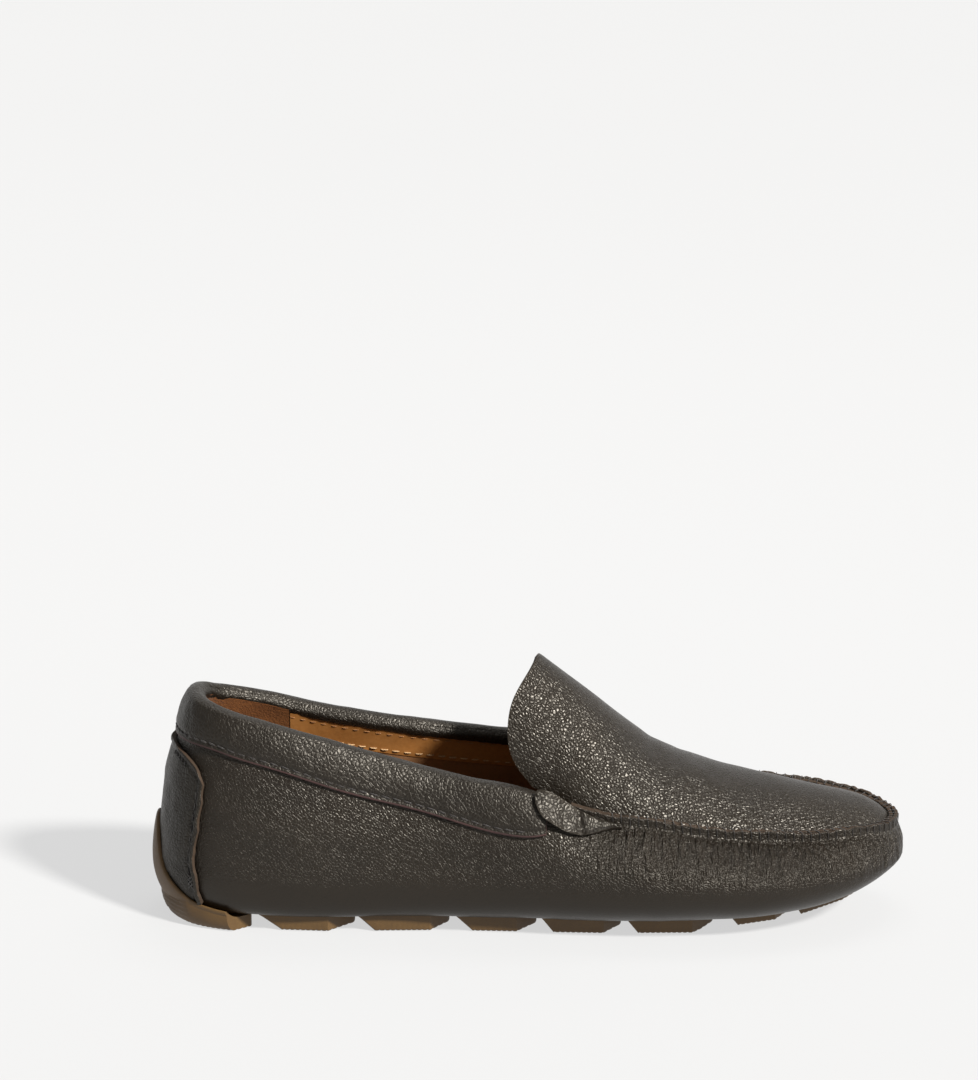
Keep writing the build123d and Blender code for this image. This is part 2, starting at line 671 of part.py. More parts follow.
# ---------------------------------------------------------------- the stitches
def make_seam_stitches():
    """Overcast thread: each stitch goes over both margins of the plug seam."""
    start, end = t_at(RIDGE_FULL_X + 3, False), t_at(RIDGE_FULL_X + 3, True) + T_END
    thread = STAPLE_THREAD
    staples = []
    for t in np.linspace(start, end, int((end - start) / SEAM_PITCH)):
        inset = ridge_inset(t)
        groove = wall(t, wrap_top(t), 0.0)[2]
        tip = groove + ridge_rise(outline_at(t)[0])
        across = 2 * LEATHER + SEAM_GAP + 2 * GLUE_GAP
        _, inward = frame_at(t)
        plane = Plane(origin=place(t, inset - GLUE_GAP, tip + GLUE_GAP), x_dir=(*inward, 0),
                      z_dir=(inward[1], -inward[0], 0))
        staple = Polyline((0, -3.0), (0, 0), (across, 0), (across, -0.5), (across + thread, -0.5),
                          (across + thread, thread), (-thread, thread), (-thread, -3.0), close=True)
        staples.append(extrude(plane * make_face(staple), amount=thread / 2, both=True))
    return Compound(staples)


def make_collar_seam_stitches():
    start, end = collar_range()
    depth = constant(-COLLAR_LEATHER - 3 * GLUE_GAP)
    return stitch_row(start + 4, end - 4, along_x(collar_seam_z, 2.0), depth)


def make_topline_stitches():
    """A row inside, just under the rolled edge, that holds the linings to it."""
    start, end = t_at(FOAM_FRONT_X, True), t_at(FOAM_FRONT_X, False)
    return stitch_row(start, end, lambda t: lining_high(t) - 1.2, along_x(lining_depth, LINING + GLUE_GAP),
                      facing_out=False)


def make_heel_patch_stitches():
    """Two upright rows beside the patch's side edges."""
    stitches = []
    for side in (-1, 1):
        t = T_HEEL + side * (PATCH_HALF_ARC - 2.5)
        for z in np.arange(20.0, 55.0, STITCH_PITCH):
            here = Vector(wall(t, z, -PATCH_LEATHER - PATCH_GAP - GLUE_GAP))
            above = Vector(wall(t, z + 0.5, -PATCH_LEATHER - PATCH_GAP - GLUE_GAP))
            deeper = Vector(wall(t, z, 0.0))
            stitches.append(stitch_on(here, (above - here).normalized(), (here - deeper).normalized()))
    return Compound(stitches)


def make_lining_stitches():
    """A row inside, just above the lower edge of each smooth collar lining."""
    rows = []
    for lateral in (True, False):
        start, end = lining_span(lateral)
        rows += stitch_row(start + 4, end - 4, lambda t: lining_strip_low(t) + 1.6,
                           along_x(lining_depth, LINING + GLUE_GAP), facing_out=False)
    return Compound(rows)


def footbed_part(layer, x_low, x_high):
    return lambda: between(bottom_layer(footbed_inset, layer), x_low, x_high)


PARTS = {
    "wrap": make_wrap,
    "apron": make_apron,
    "apron_lining": make_apron_lining,
    "collar_band": make_collar_band,
    "topline_binding": make_topline_binding,
    "collar_foam": make_collar_foam,
    "heel_counter": make_heel_counter,
    "heel_grip": make_heel_grip,
    "quarter_lining_lateral": lambda: make_quarter_lining(True),
    "quarter_lining_medial": lambda: make_quarter_lining(False),
    "collar_lining_lateral": lambda: make_collar_lining(True),
    "collar_lining_medial": lambda: make_collar_lining(False),
    "vamp_lining": make_vamp_lining,
    "heel_patch": make_heel_patch,
    "apron_tab_lateral": lambda: make_tab(True),
    "apron_tab_medial": lambda: make_tab(False),
    "insole_board": footbed_part(BOARD_LAYER, *BOARD_X),
    "footbed_foam": footbed_part(FOAM_LAYER, HEEL_CUSHION_FRONT_X + 0.4, BOARD_X[1]),
    "heel_cushion": footbed_part(FOAM_LAYER, BOARD_X[0], HEEL_CUSHION_FRONT_X),
    "sock_leather": footbed_part(SOCK_LAYER, *BOARD_X),
    "front_sole_unit": make_front_sole_unit,
    "heel_sole_unit": make_heel_sole_unit,
    "plug_seam_stitches": make_seam_stitches,
    "collar_seam_stitches": make_collar_seam_stitches,
    "topline_stitches": make_topline_stitches,
    "heel_patch_stitches": make_heel_patch_stitches,
    "lining_stitches": make_lining_stitches,
}

if __name__ == "__main__":
    os.makedirs("parts", exist_ok=True)
    for name, make in PARTS.items():
        export_step(make(), f"parts/{name}.step")
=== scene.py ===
import math

import bmesh
import bpy
import numpy as np
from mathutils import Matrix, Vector


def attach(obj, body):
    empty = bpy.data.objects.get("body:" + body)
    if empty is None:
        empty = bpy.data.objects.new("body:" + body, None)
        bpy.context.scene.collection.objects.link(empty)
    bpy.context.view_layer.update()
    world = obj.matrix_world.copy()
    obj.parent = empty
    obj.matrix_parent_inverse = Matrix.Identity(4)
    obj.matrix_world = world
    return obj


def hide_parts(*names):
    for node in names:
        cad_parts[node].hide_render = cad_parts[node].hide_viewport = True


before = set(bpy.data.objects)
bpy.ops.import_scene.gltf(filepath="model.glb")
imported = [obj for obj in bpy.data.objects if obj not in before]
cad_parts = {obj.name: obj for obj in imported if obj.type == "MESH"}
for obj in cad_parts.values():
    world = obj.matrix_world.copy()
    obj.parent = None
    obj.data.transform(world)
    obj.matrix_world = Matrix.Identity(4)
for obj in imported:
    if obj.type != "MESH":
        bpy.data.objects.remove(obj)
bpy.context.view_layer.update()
MM = 0.001

# ---------------------------------------------------------------- the shoe's own curves, in millimetres
OUTLINE = [(143, 4), (134, -20), (105, -39.8), (60, -47.4), (5, -42), (-50, -35.5), (-105, -33), (-131, -21),
           (-138.7, 0), (-131, 21), (-105, 32.5), (-50, 32.5), (5, 39), (60, 46.8), (108, 40.5), (136, 23)]
HEEL_KNOT = 8
BULGE_Z = 22.0
FEATHER_INSET = [(-140, 7.0), (-105, 6.5), (-84, 6.0), (-45, 7.5), (-15, 10.0), (20, 13.0), (52, 16.0),
                 (85, 15.5), (110, 14.0), (143, 14.0)]
LIP_WIDTH = 8.0
WALL_POWER = 2.2
BOTTOM_Z = [(-140, 9.0), (-120, 7.2), (-90, 6.5), (0, 6.5), (60, 6.6), (100, 8.6), (125, 12.5), (143, 18.0)]
TREAD_Z = [(-143, 0.0), (65, 0.0), (76, 2.4), (95, 4.5), (106, 5.6), (128, 8.9)]
TOP_LATERAL = [(-140, 88.0), (-132, 87.4), (-121, 85.7), (-105, 82.6), (-76, 75.4), (-56, 69.4), (-39, 64.9),
               (-22, 61.3), (1, 56.8), (14, 50.0), (22, 46.0), (30, 43.6), (40, 42.8), (53, 40.9), (70, 37.9),
               (90, 36.2), (110, 34.6), (130, 34.6), (143, 32.6)]
TOP_MEDIAL = [(-140, 88.0), (-131, 86.0), (-120, 83.4), (-106, 80.5), (-87, 76.0), (-56, 70.6), (-31, 66.5),
              (-10, 63.0), (1, 60.5), (14, 54.0), (30, 48.5), (45, 46.0), (65, 43.4), (90, 40.4), (102, 39.4),
              (114, 38.0), (126, 36.0), (143, 32.6)]
TOP_INSET = [(-140, 13.5), (-120, 12.0), (-93, 11.0), (-50, 11.0), (0, 10.0), (14, 11.0), (43, 13.0),
             (65, 14.5), (87, 14.5), (104, 13.0), (125, 7.5), (143, 2.0)]
COLLAR_SEAM_Z = [(-140, 71.2), (-128, 70.9), (-119, 69.9), (-111, 68.1), (-93, 63.8), (-75, 58.1),
                 (-62, 54.3), (-41, 49.3), (-15, 42.7), (-4, 41.2), (3, 41.4), (8, 42.8), (14, 46.0)]
PLUG_CROWN_Z = [(-12, 114.0), (3.4, 101.4), (20, 87.8), (35, 75.4), (42, 69.9), (49, 65.3), (57, 61.6),
                (65, 58.6), (77, 54.5), (88, 51.9), (110, 46.5), (130, 41.5), (140, 38.0)]
PLUG_FULLNESS = [(-12, 1.1), (14, 1.15), (40, 1.3), (70, 1.6), (140, 2.0)]
TONGUE_EDGE = [(2.7, 55.5), (-5.3, 65.4), (-8.0, 77.0), (-4.9, 90.7), (3.4, 101.4)]
RIDGE_HEIGHT = 4.2
RIDGE_START_X = 14.0
RIDGE_FULL_X = 24.0
FLAT_RIDGE = 0.4
MARGIN_ROOT = 1.2
COLLAR_END_X = 6.0
WRAP_UNDER_COLLAR = 6.0
LEATHER = 1.6
LINING = 0.9
SEAM_GAP = 0.45
PATCH_GAP = 0.35
PATCH_LEATHER = 1.25
COLLAR_LEATHER = 1.4
GLUE_GAP = 0.15
ROLL_HEIGHT = 5.0
ROLL_THICKNESS = 5.4
LINING_DEPTH = [(-140, 3.7), (-45, 3.7), (14, 2.4), (60, 2.1), (143, 2.1)]
LINING_ABOVE_BOTTOM = 9.3
LINING_FRONT_X = 14.0
LINING_TOE_X = 131.0
COLLAR_LINING_HEIGHT = 15.0
HEEL_GRIP_FRONT_X = -91.6
FOAM_FRONT_X = -12.0
PATCH_TOP = [(0, 68.2), (10.5, 68.2), (19.5, 66.8), (27, 64.2), (31, 60.5), (33, 57.0)]
PATCH_HALF_WIDTH = [(11, 31.8), (19, 31.3), (27.5, 30.2), (35, 31.1), (43, 32.1), (50, 32.8), (57, 33.0),
                    (70, 33.0)]
PATCH_HALF_ARC = 33.0
PATCH_BOTTOM_Z = 11.0
GUARD_TOP = [(0, 39.0), (3, 38.0), (6, 34.0), (10, 26.0), (18, 17.5), (27, 12.5), (36, 10.0), (49, 8.4)]
GUARD_HALF_ARC = 49.0
GUARD_RUBBER = 2.5
GUARD_EDGE = 0.6
GUARD_FILL_DROP = 14.0
TREAD_ROUND_Z = 12.0
TREAD_EDGE_INSET = 4.5
TREAD_RING_INSET = 12.0
BLOCKS = [(-102.5, -93.0, -75.6, -65.6), (-64.6, -57.8, -37.0, -29.8), (-28.0, -21.0, -4.4, 3.2),
          (4.4, 9.5, 28.2, 35.2), (36.4, 41.4, 61.8, 70.0), (75.6, 79.0, 93.0, 99.6),
          (101.2, 103.0, 119.0, 127.5)]
BLOCK_CORNER = 10.0
HEEL_BLOCK_FRONT_X = -107.0
SEAM_PITCH = 3.3
STITCH_PITCH = 4.2
SOCK_LAYER = (8.05, 9.0)
FOOTBED_SHARE = 0.5
FOOTBED_MARGIN = 4.0


def smooth(knots):
    """A function that runs smoothly through (x, value) knots and is flat beyond both ends."""
    xs, ys = np.array(knots, float).T
    count = len(xs)
    step = np.diff(xs)
    matrix = np.eye(count)
    change = np.zeros(count)
    for i in range(1, count - 1):
        matrix[i, i - 1:i + 2] = step[i - 1], 2 * (step[i - 1] + step[i]), step[i]
        change[i] = 6 * ((ys[i + 1] - ys[i]) / step[i] - (ys[i] - ys[i - 1]) / step[i - 1])
    bend = np.linalg.solve(matrix, change)

    def value(x):
        x = np.clip(x, xs[0], xs[-1])
        i = np.clip(np.searchsorted(xs, x) - 1, 0, count - 2)
        a, b, h = xs[i + 1] - x, x - xs[i], step[i]
        return ((bend[i] * a ** 3 + bend[i + 1] * b ** 3) / (6 * h)
                + (ys[i] / h - bend[i] * h / 6) * a + (ys[i + 1] / h - bend[i + 1] * h / 6) * b)

    return value


def closed_curve(points):
    """Point and derivative of a smooth closed plan curve, and its knots' chord lengths."""
    points = np.array(points, float)
    count = len(points)
    step = np.linalg.norm(np.roll(points, -1, axis=0) - points, axis=1)
    knots = np.concatenate([[0], np.cumsum(step)])
    matrix = np.zeros((count, count))
    right = np.zeros((count, 2))
    for i in range(count):
        before, after = step[i - 1], step[i]
        matrix[i, i - 1] = before
        matrix[i, i] = 2 * (before + after)
        matrix[i, (i + 1) % count] = after
        right[i] = 6 * ((points[(i + 1) % count] - points[i]) / after - (points[i] - points[i - 1]) / before)
    bend = np.linalg.solve(matrix, right)

    def at(t, derivative=False):
        t = np.asarray(t, float) % knots[-1]
        i = np.clip(np.searchsorted(knots, t, side="right") - 1, 0, count - 1)
        j = (i + 1) % count
        a, b, h = (knots[i + 1] - t)[..., None], (t - knots[i])[..., None], step[i][..., None]
        if derivative:
            return ((bend[j] * b ** 2 - bend[i] * a ** 2) / (2 * h)
                    + (points[j] - points[i]) / h - (bend[j] - bend[i]) * h / 6)
        return ((bend[i] * a ** 3 + bend[j] * b ** 3) / (6 * h)
                + (points[i] / h - bend[i] * h / 6) * a + (points[j] / h - bend[j] * h / 6) * b)

    return at, knots


outline_at, outline_knots = closed_curve(OUTLINE)
T_END = outline_knots[-1]
T_HEEL = outline_knots[HEEL_KNOT]
bottom_z, top_lateral, top_medial = smooth(BOTTOM_Z), smooth(TOP_LATERAL), smooth(TOP_MEDIAL)
top_inset, collar_seam_z, crown_z = smooth(TOP_INSET), smooth(COLLAR_SEAM_Z), smooth(PLUG_CROWN_Z)
fullness, feather_inset, lining_depth = smooth(PLUG_FULLNESS), smooth(FEATHER_INSET), smooth(LINING_DEPTH)
patch_top, patch_half, guard_top = smooth(PATCH_TOP), smooth(PATCH_HALF_WIDTH), smooth(GUARD_TOP)
tongue_edge_x = smooth([(z, x) for x, z in TONGUE_EDGE])
table_t = np.linspace(0, T_END, 3201)
table_x = outline_at(table_t)[:, 0]


def x_of(t):
    return outline_at(t)[..., 0]


def t_at(x, lateral):
    """Where on the outline x is reached, on the lateral or the medial side."""
    part = (table_t <= T_HEEL) if lateral else (table_t >= T_HEEL)
    ts, xs = table_t[part], table_x[part]
    order = np.argsort(xs)
    return np.interp(x, xs[order], ts[order])


def both_at(x):
    return t_at(x, True), t_at(x, False)


def frame_at(t):
    along = outline_at(t, derivative=True)
    along = along / np.linalg.norm(along, axis=-1, keepdims=True)
    return outline_at(t), np.stack([along[..., 1], -along[..., 0]], axis=-1)


def reference_top(t):
    x = x_of(t)
    return np.where(np.asarray(t) % T_END <= T_HEEL, top_lateral(x), top_medial(x))


def place(t, inset, z):
    t, inset, z = np.broadcast_arrays(t, inset, z)
    point, inward = frame_at(t)
    plan = point + inward * inset[..., None]
    return np.concatenate([plan, z[..., None]], axis=-1)


def local_bottom(t, inset):
    point, inward = frame_at(t)
    return bottom_z(point[..., 0] + inward[..., 0] * inset)


def feather_at(t):
    return feather_inset(x_of(t))


def rounding_angle(t, z):
    drop = BULGE_Z - local_bottom(t, feather_at(t) / 2)
    return np.arcsin(np.clip((BULGE_Z - z) / drop, 0.0, 1.0))


def rounded(t, angle, depth):
    """The rounded lower edge: angle 0 is the bulge and a quarter turn is the flat bottom."""
    feather = feather_at(t)
    inset = feather * (1 - np.cos(angle))
    drop = BULGE_Z - local_bottom(t, inset)
    across, down = drop * np.cos(angle), feather * np.sin(angle)
    size = np.hypot(across, down)
    return place(t, inset + depth * across / size, BULGE_Z - drop * np.sin(angle) + depth * down / size)


def wall(t, z, depth):
    """The upper's wall at height z, and depth further in: negative depths stand proud."""
    t, z, depth = np.broadcast_arrays(np.asarray(t, float), np.asarray(z, float), np.asarray(depth, float))
    lean = top_inset(x_of(t))
    rise = reference_top(t) - BULGE_Z
    part = np.clip((z - BULGE_Z) / rise, 0.0, None)
    slope = lean * WALL_POWER * part ** (WALL_POWER - 1) / rise
    scale = np.sqrt(1 + slope ** 2)
    high = place(t, lean * part ** WALL_POWER + depth / scale, z - depth * slope / scale)
    low = rounded(t, rounding_angle(t, z), depth)
    return np.where((z >= BULGE_Z)[..., None], high, low)


def make_noise(seed):
    table = np.random.default_rng(seed).uniform(-1, 1, (64, 64, 64))

    def noise(*coordinates):
        """Smooth noise between -1 and 1 at coordinates counted in lattice steps."""
        coordinates = list(np.broadcast_arrays(*[np.asarray(c, float) for c in coordinates]))
        while len(coordinates) < 3:
            coordinates.append(np.zeros_like(coordinates[0]))
        cells = [np.floor(c).astype(int) for c in coordinates]
        parts = [c - k for c, k in zip(coordinates, cells)]
        parts = [p * p * (3 - 2 * p) for p in parts]
        total = 0.0
        for corner in range(8):
            bits = [(corner >> k) & 1 for k in range(3)]
            weight = 1.0
            for part, bit in zip(parts, bits):
                weight = weight * (part if bit else 1 - part)
            total = total + weight * table[tuple((k + b) % 64 for k, b in zip(cells, bits))]
        return total

    return noise


noise_a, noise_b = make_noise(3), make_noise(8)


def ease(value, low, high):
    share = np.clip((value - low) / (high - low), 0.0, 1.0)
    return share * share * (3 - 2 * share)


def bell(distance, width):
    return np.exp(-(distance / width) ** 2)


def lumps_at(u, v, coarse, fine):
    """Two sizes of soft lumps, each given by its height, its length, its width and a place in the noise."""
    total = 0.0
    for noise, (high, long, wide, level) in ((noise_a, coarse), (noise_b, fine)):
        total = total + high * noise(u / long, v / wide, level)
    return total


# ---------------------------------------------------------------- meshes
def grid_quads(rows, columns, wrap_rows=False, wrap_columns=False):
    r = np.arange(rows if wrap_rows else rows - 1)
    c = np.arange(columns if wrap_columns else columns - 1)
    r, c = np.meshgrid(r, c, indexing="ij")
    r2, c2 = (r + 1) % rows, (c + 1) % columns
    corners = [r * columns + c, r * columns + c2, r2 * columns + c2, r2 * columns + c]
    return np.stack(corners, axis=-1).reshape(-1, 4)


def ring_part(rows, edge_rows=(), closed=False, wear_and_painted_light=()):
    """A closed skin from rows of points that run through all its sections. edge_rows get the second
    material, and the last argument holds, for the first rows, their wear together with painted highlights and
    painted shade."""
    rings = np.stack(rows, axis=1)
    stations, count = rings.shape[:2]
    marks = np.zeros(count, int)
    marks[list(edge_rows)] = 1
    faces = grid_quads(stations, count, wrap_rows=closed, wrap_columns=True).tolist()
    kinds = np.tile(marks, stations if closed else stations - 1).tolist()
    if not closed:
        faces += [list(range(count))[::-1], [(stations - 1) * count + i for i in range(count)]]
        kinds += [int(marks[0])] * 2
    worn_and_lit = np.zeros((stations, count))
    if len(wear_and_painted_light):
        worn_and_lit[:, :len(wear_and_painted_light)] = np.stack(wear_and_painted_light, axis=1)
    return rings.reshape(-1, 3), faces, kinds, worn_and_lit.ravel()


def sheet_part(outer, inner, edge_mark=0, wear_and_painted_light=None):
    """Two grids of the same size joined round their borders into a closed sheet."""
    rows, columns = outer.shape[:2]
    quads = grid_quads(rows, columns)
    count = rows * columns
    faces = quads.tolist() + (quads[:, ::-1] + count).tolist()
    kinds = [0] * len(faces)
    index = np.arange(count).reshape(rows, columns)
    border = np.concatenate([index[0, :-1], index[:-1, -1], index[-1, :0:-1], index[:0:-1, 0]])
    following = np.roll(border, -1)
    edge = np.stack([border, border + count, following + count, following], axis=-1)
    faces += edge.tolist()
    kinds += [edge_mark] * len(edge)
    wear_and_painted_light = np.zeros(count) if wear_and_painted_light is None else wear_and_painted_light.ravel()
    points = np.concatenate([outer.reshape(-1, 3), inner.reshape(-1, 3)])
    return points, faces, kinds, np.concatenate([wear_and_painted_light, wear_and_painted_light])


def grid_normals(grid):
    along, across = np.gradient(grid, axis=0), np.gradient(grid, axis=1)
    normal = np.cross(along, across)
    size = np.linalg.norm(normal, axis=-1, keepdims=True)
    return normal / np.maximum(size, 1e-9)


def thread_part(paths, radius, sides=6):
    """Round threads along paths of the same number of points, tapered a little at both ends."""
    paths = np.asarray(paths, float)
    along = np.gradient(paths, axis=1)
    along /= np.linalg.norm(along, axis=-1, keepdims=True)
    helper = np.where(np.abs(along[..., 2:3]) > 0.9, np.array([1.0, 0, 0]), np.array([0, 0, 1.0]))
    side = np.cross(along, helper)
    side /= np.linalg.norm(side, axis=-1, keepdims=True)
    other = np.cross(along, side)
    points = paths.shape[1]
    taper = radius * (1 - 0.35 * np.abs(np.linspace(-1, 1, points)) ** 4)
    angle = np.linspace(0, 2 * np.pi, sides, endpoint=False)
    rings = (paths[:, :, None] + taper[None, :, None, None]
             * (side[:, :, None] * np.cos(angle)[:, None] + other[:, :, None] * np.sin(angle)[:, None]))
    vertices, faces = [], []
    quads = grid_quads(points, sides, wrap_columns=True)
    for k, ring in enumerate(rings):
        start = k * points * sides
        vertices.append(ring.reshape(-1, 3))
        faces += (quads + start).tolist()
        last = start + (points - 1) * sides
        faces += [[start + i for i in range(sides)][::-1], [last + i for i in range(sides)]]
    vertices = np.concatenate(vertices)
    return vertices, faces, [0] * len(faces), np.zeros(len(vertices))


def add_values(mesh, name, values):
    mesh.attributes.new(name, "FLOAT", "POINT").data.foreach_set("value", values.astype(np.float32))


def add_object(name, data):
    item = bpy.data.objects.new(name, data)
    bpy.context.collection.objects.link(item)
    return item


def make_piece(name, parts, materials, replaces, sharp=55, gathered=None):
    """One object from closed skins, smooth shaded but for its sharp edges."""
    vertices, faces, kinds, wear_and_painted_light, start = [], [], [], [], 0
    for points, part_faces, part_kinds, part_wear_and_painted_light in parts:
        vertices.append(points)
        wear_and_painted_light.append(part_wear_and_painted_light)
        faces += [[i + start for i in face] for face in part_faces]
        kinds += part_kinds
        start += len(points)
    mesh = bpy.data.meshes.new(name)
    mesh.from_pydata((np.concatenate(vertices) * MM).tolist(), [], faces)
    mesh.polygons.foreach_set("material_index", np.array(kinds, dtype=np.int32))
    add_values(mesh, "wear_and_painted_light", np.concatenate(wear_and_painted_light))
    if gathered is not None:
        amounts = np.zeros(start)
        amounts[:len(gathered)] = gathered
        add_values(mesh, "gathered", amounts)
    for item in materials:
        mesh.materials.append(item)
    work = bmesh.new()
    work.from_mesh(mesh)
    bmesh.ops.recalc_face_normals(work, faces=work.faces)
    work.to_mesh(mesh)
    work.free()
    mesh.shade_smooth()
    mesh.set_sharp_from_angle(angle=math.radians(sharp))
    mesh.validate()
    piece = add_object(name, mesh)
    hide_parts(*replaces)
    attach(piece, "root")
    return piece


# ---------------------------------------------------------------- materials
LEATHER_SPECULAR = 0.40
PEBBLE_WARP = 1.3                  # how far the pebbles are pushed about, in their own widths
FINE_GRAIN_SHARE = 0.22
STREAK_STRETCH = (1.0, 0.28, 0.22)
PRESSED_BLEND = 0.008


def linear(red, green, blue):
    values = np.array([red, green, blue]) / 255.0
    return (*np.where(values <= 0.04045, values / 12.92, ((values + 0.055) / 1.055) ** 2.4), 1.0)


def feed(tree, socket, value):
    """Outputs are linked to the socket, and constants are set on it."""
    if isinstance(value, bpy.types.NodeSocket):
        tree.links.new(value, socket)
    else:
        socket.default_value = value


def add_node(tree, kind, **inputs):
    """A new shader node with its inputs; an underscore in a name stands for a space."""
    node = tree.nodes.new("ShaderNode" + kind)
    for name, value in inputs.items():
        feed(tree, node.inputs[name.replace("_", " ")], value)
    return node


def start_material(name, roughness, specular, sheen=0.0):
    item = bpy.data.materials.new(name)
    item.use_nodes = True
    tree = item.node_tree
    shader = tree.nodes["Principled BSDF"]
    shader.inputs["Roughness"].default_value = roughness
    shader.inputs["Specular IOR Level"].default_value = specular
    shader.inputs["Sheen Weight"].default_value = sheen
    return item, tree, shader, add_node(tree, "TexCoord").outputs["Object"]


def fractal(tree, vector, scale, detail, roughness=0.55, output="Fac"):
    node = add_node(tree, "TexNoise", Vector=vector, Scale=scale, Detail=detail, Roughness=roughness)
    return node.outputs[output]


def attribute(tree, name):
    node = add_node(tree, "Attribute")
    node.attribute_name = name
    return node.outputs["Fac"]


def map_range(tree, value, from_low, from_high, to_low=0.0, to_high=1.0):
    return add_node(tree, "MapRange", Value=value, From_Min=from_low, From_Max=from_high, To_Min=to_low,
                    To_Max=to_high).outputs["Result"]


def math_node(tree, operation, first, second):
    node = add_node(tree, "Math")
    node.operation = operation
    feed(tree, node.inputs[0], first)
    feed(tree, node.inputs[1], second)
    return node.outputs[0]


def mix_color(tree, factor, first, second):
    node = add_node(tree, "Mix")
    node.data_type = "RGBA"
    for name, value in (("Factor", factor), ("A", first), ("B", second)):
        feed(tree, node.inputs[name], value)
    return node.outputs["Result"]


def finish_shader(tree, shader, color, roughness, height, distance):
    bump = add_node(tree, "Bump", Strength=1.0, Distance=distance, Height=height)
    feed(tree, shader.inputs["Base Color"], color)
    feed(tree, shader.inputs["Roughness"], roughness)
    feed(tree, shader.inputs["Normal"], bump.outputs["Normal"])


def pebbled_leather(name, base, worn_and_lit, cell, depth, roughness, streaks=0.0, smooth_below=-1.0):
    """Tumbled leather: uneven domed pebbles between fine creases, drawn into streaks where it is gathered,
    pressed smooth low down, with painted shade in the creases between pebbles, paler where wear polishes it
    and where highlights are painted, and darker where shade is painted."""
    item, tree, shader, vector = start_material(name, roughness, LEATHER_SPECULAR)
    warp = fractal(tree, vector, 0.35 / cell, 2.0, output="Color")
    shift = add_node(tree, "VectorMath")
    shift.operation = "MULTIPLY_ADD"
    for socket, value in zip(shift.inputs, (warp, (cell * PEBBLE_WARP,) * 3, vector)):
        feed(tree, socket, value)
    cells = add_node(tree, "TexVoronoi", Vector=shift.outputs[0], Scale=1.0 / cell)
    cells.feature = "DISTANCE_TO_EDGE"
    dome = math_node(tree, "POWER", map_range(tree, cells.outputs["Distance"], 0.0, 0.35), 0.55)
    fine = fractal(tree, vector, 2.6 / cell, 3.0)
    height = math_node(tree, "ADD", dome, math_node(tree, "MULTIPLY", fine, FINE_GRAIN_SHARE))
    gathered = attribute(tree, "gathered")
    if streaks:
        drawn = add_node(tree, "Mapping", Vector=vector, Scale=STREAK_STRETCH)
        streak = fractal(tree, drawn.outputs["Vector"], 0.95 / cell, 3.0, 0.6)
        drawn_height = math_node(tree, "MULTIPLY", map_range(tree, streak, 0.3, 0.7), streaks)
        height = math_node(tree, "ADD", height, math_node(tree, "MULTIPLY", drawn_height, gathered))
    place_z = add_node(tree, "SeparateXYZ", Vector=vector).outputs["Z"]
    pressed = map_range(tree, place_z, smooth_below, smooth_below + PRESSED_BLEND, 0.10, 1.0)
    relief = math_node(tree, "MULTIPLY", height, pressed)
    patchy = fractal(tree, vector, 38.0, 4.0, 0.6)
    # Random patchy tone plus the per-point wear and painted light: paler for wear and painted highlights,
    # darker for painted shade, mostly on the pebble tops.
    amount = math_node(tree, "ADD", map_range(tree, patchy, 0.35, 0.75, 0.0, 0.35),
                       math_node(tree, "MULTIPLY", attribute(tree, "wear_and_painted_light"), 0.9))
    amount = math_node(tree, "MULTIPLY", amount, map_range(tree, dome, 0.0, 0.8, 0.35, 1.0))
    # Painted shade: the creases between the pebbles are darkened to half the base colour.
    crease_shade = tuple(c * 0.5 for c in base[:3]) + (1.0,)
    crease_shaded_ground = mix_color(tree, map_range(tree, dome, 0.0, 0.5), crease_shade, base)
    clamped = add_node(tree, "Clamp", Value=amount).outputs[0]
    finish_shader(tree, shader, mix_color(tree, clamped, crease_shaded_ground, worn_and_lit),
                  map_range(tree, fine, 0.3, 0.7, roughness - 0.07, roughness + 0.10), relief, depth)
    shader.inputs["Specular Tint"].default_value = (1.0, 0.93, 0.82, 1.0)
    return item


def plain_leather(name, base, other, scale, depth, roughness, specular=0.4, sheen=0.0):
    """Smooth or rough hide: soft blotches, fine pores and a little relief."""
    item, tree, shader, vector = start_material(name, roughness, specular, sheen)
    blotch, pores = fractal(tree, vector, 55.0, 4.0, 0.6), fractal(tree, vector, scale, 4.0, 0.65)
    amount = math_node(tree, "ADD", math_node(tree, "MULTIPLY", blotch, 0.75),
                       math_node(tree, "MULTIPLY", pores, 0.45))
    finish_shader(tree, shader, mix_color(tree, map_range(tree, amount, 0.4, 0.8), base, other),
                  map_range(tree, pores, 0.3, 0.7, roughness - 0.05, roughness + 0.08), pores, depth)
    return item


def twisted_thread(name, base, other):
    item, tree, shader, vector = start_material(name, 0.62, 0.35, sheen=0.25)
    ply = add_node(tree, "TexWave", Vector=vector, Scale=900.0, Distortion=3.0)
    ply.bands_direction = "DIAGONAL"
    finish_shader(tree, shader, mix_color(tree, ply.outputs["Fac"], base, other), 0.62, ply.outputs["Fac"],
                  0.00008)
    return item


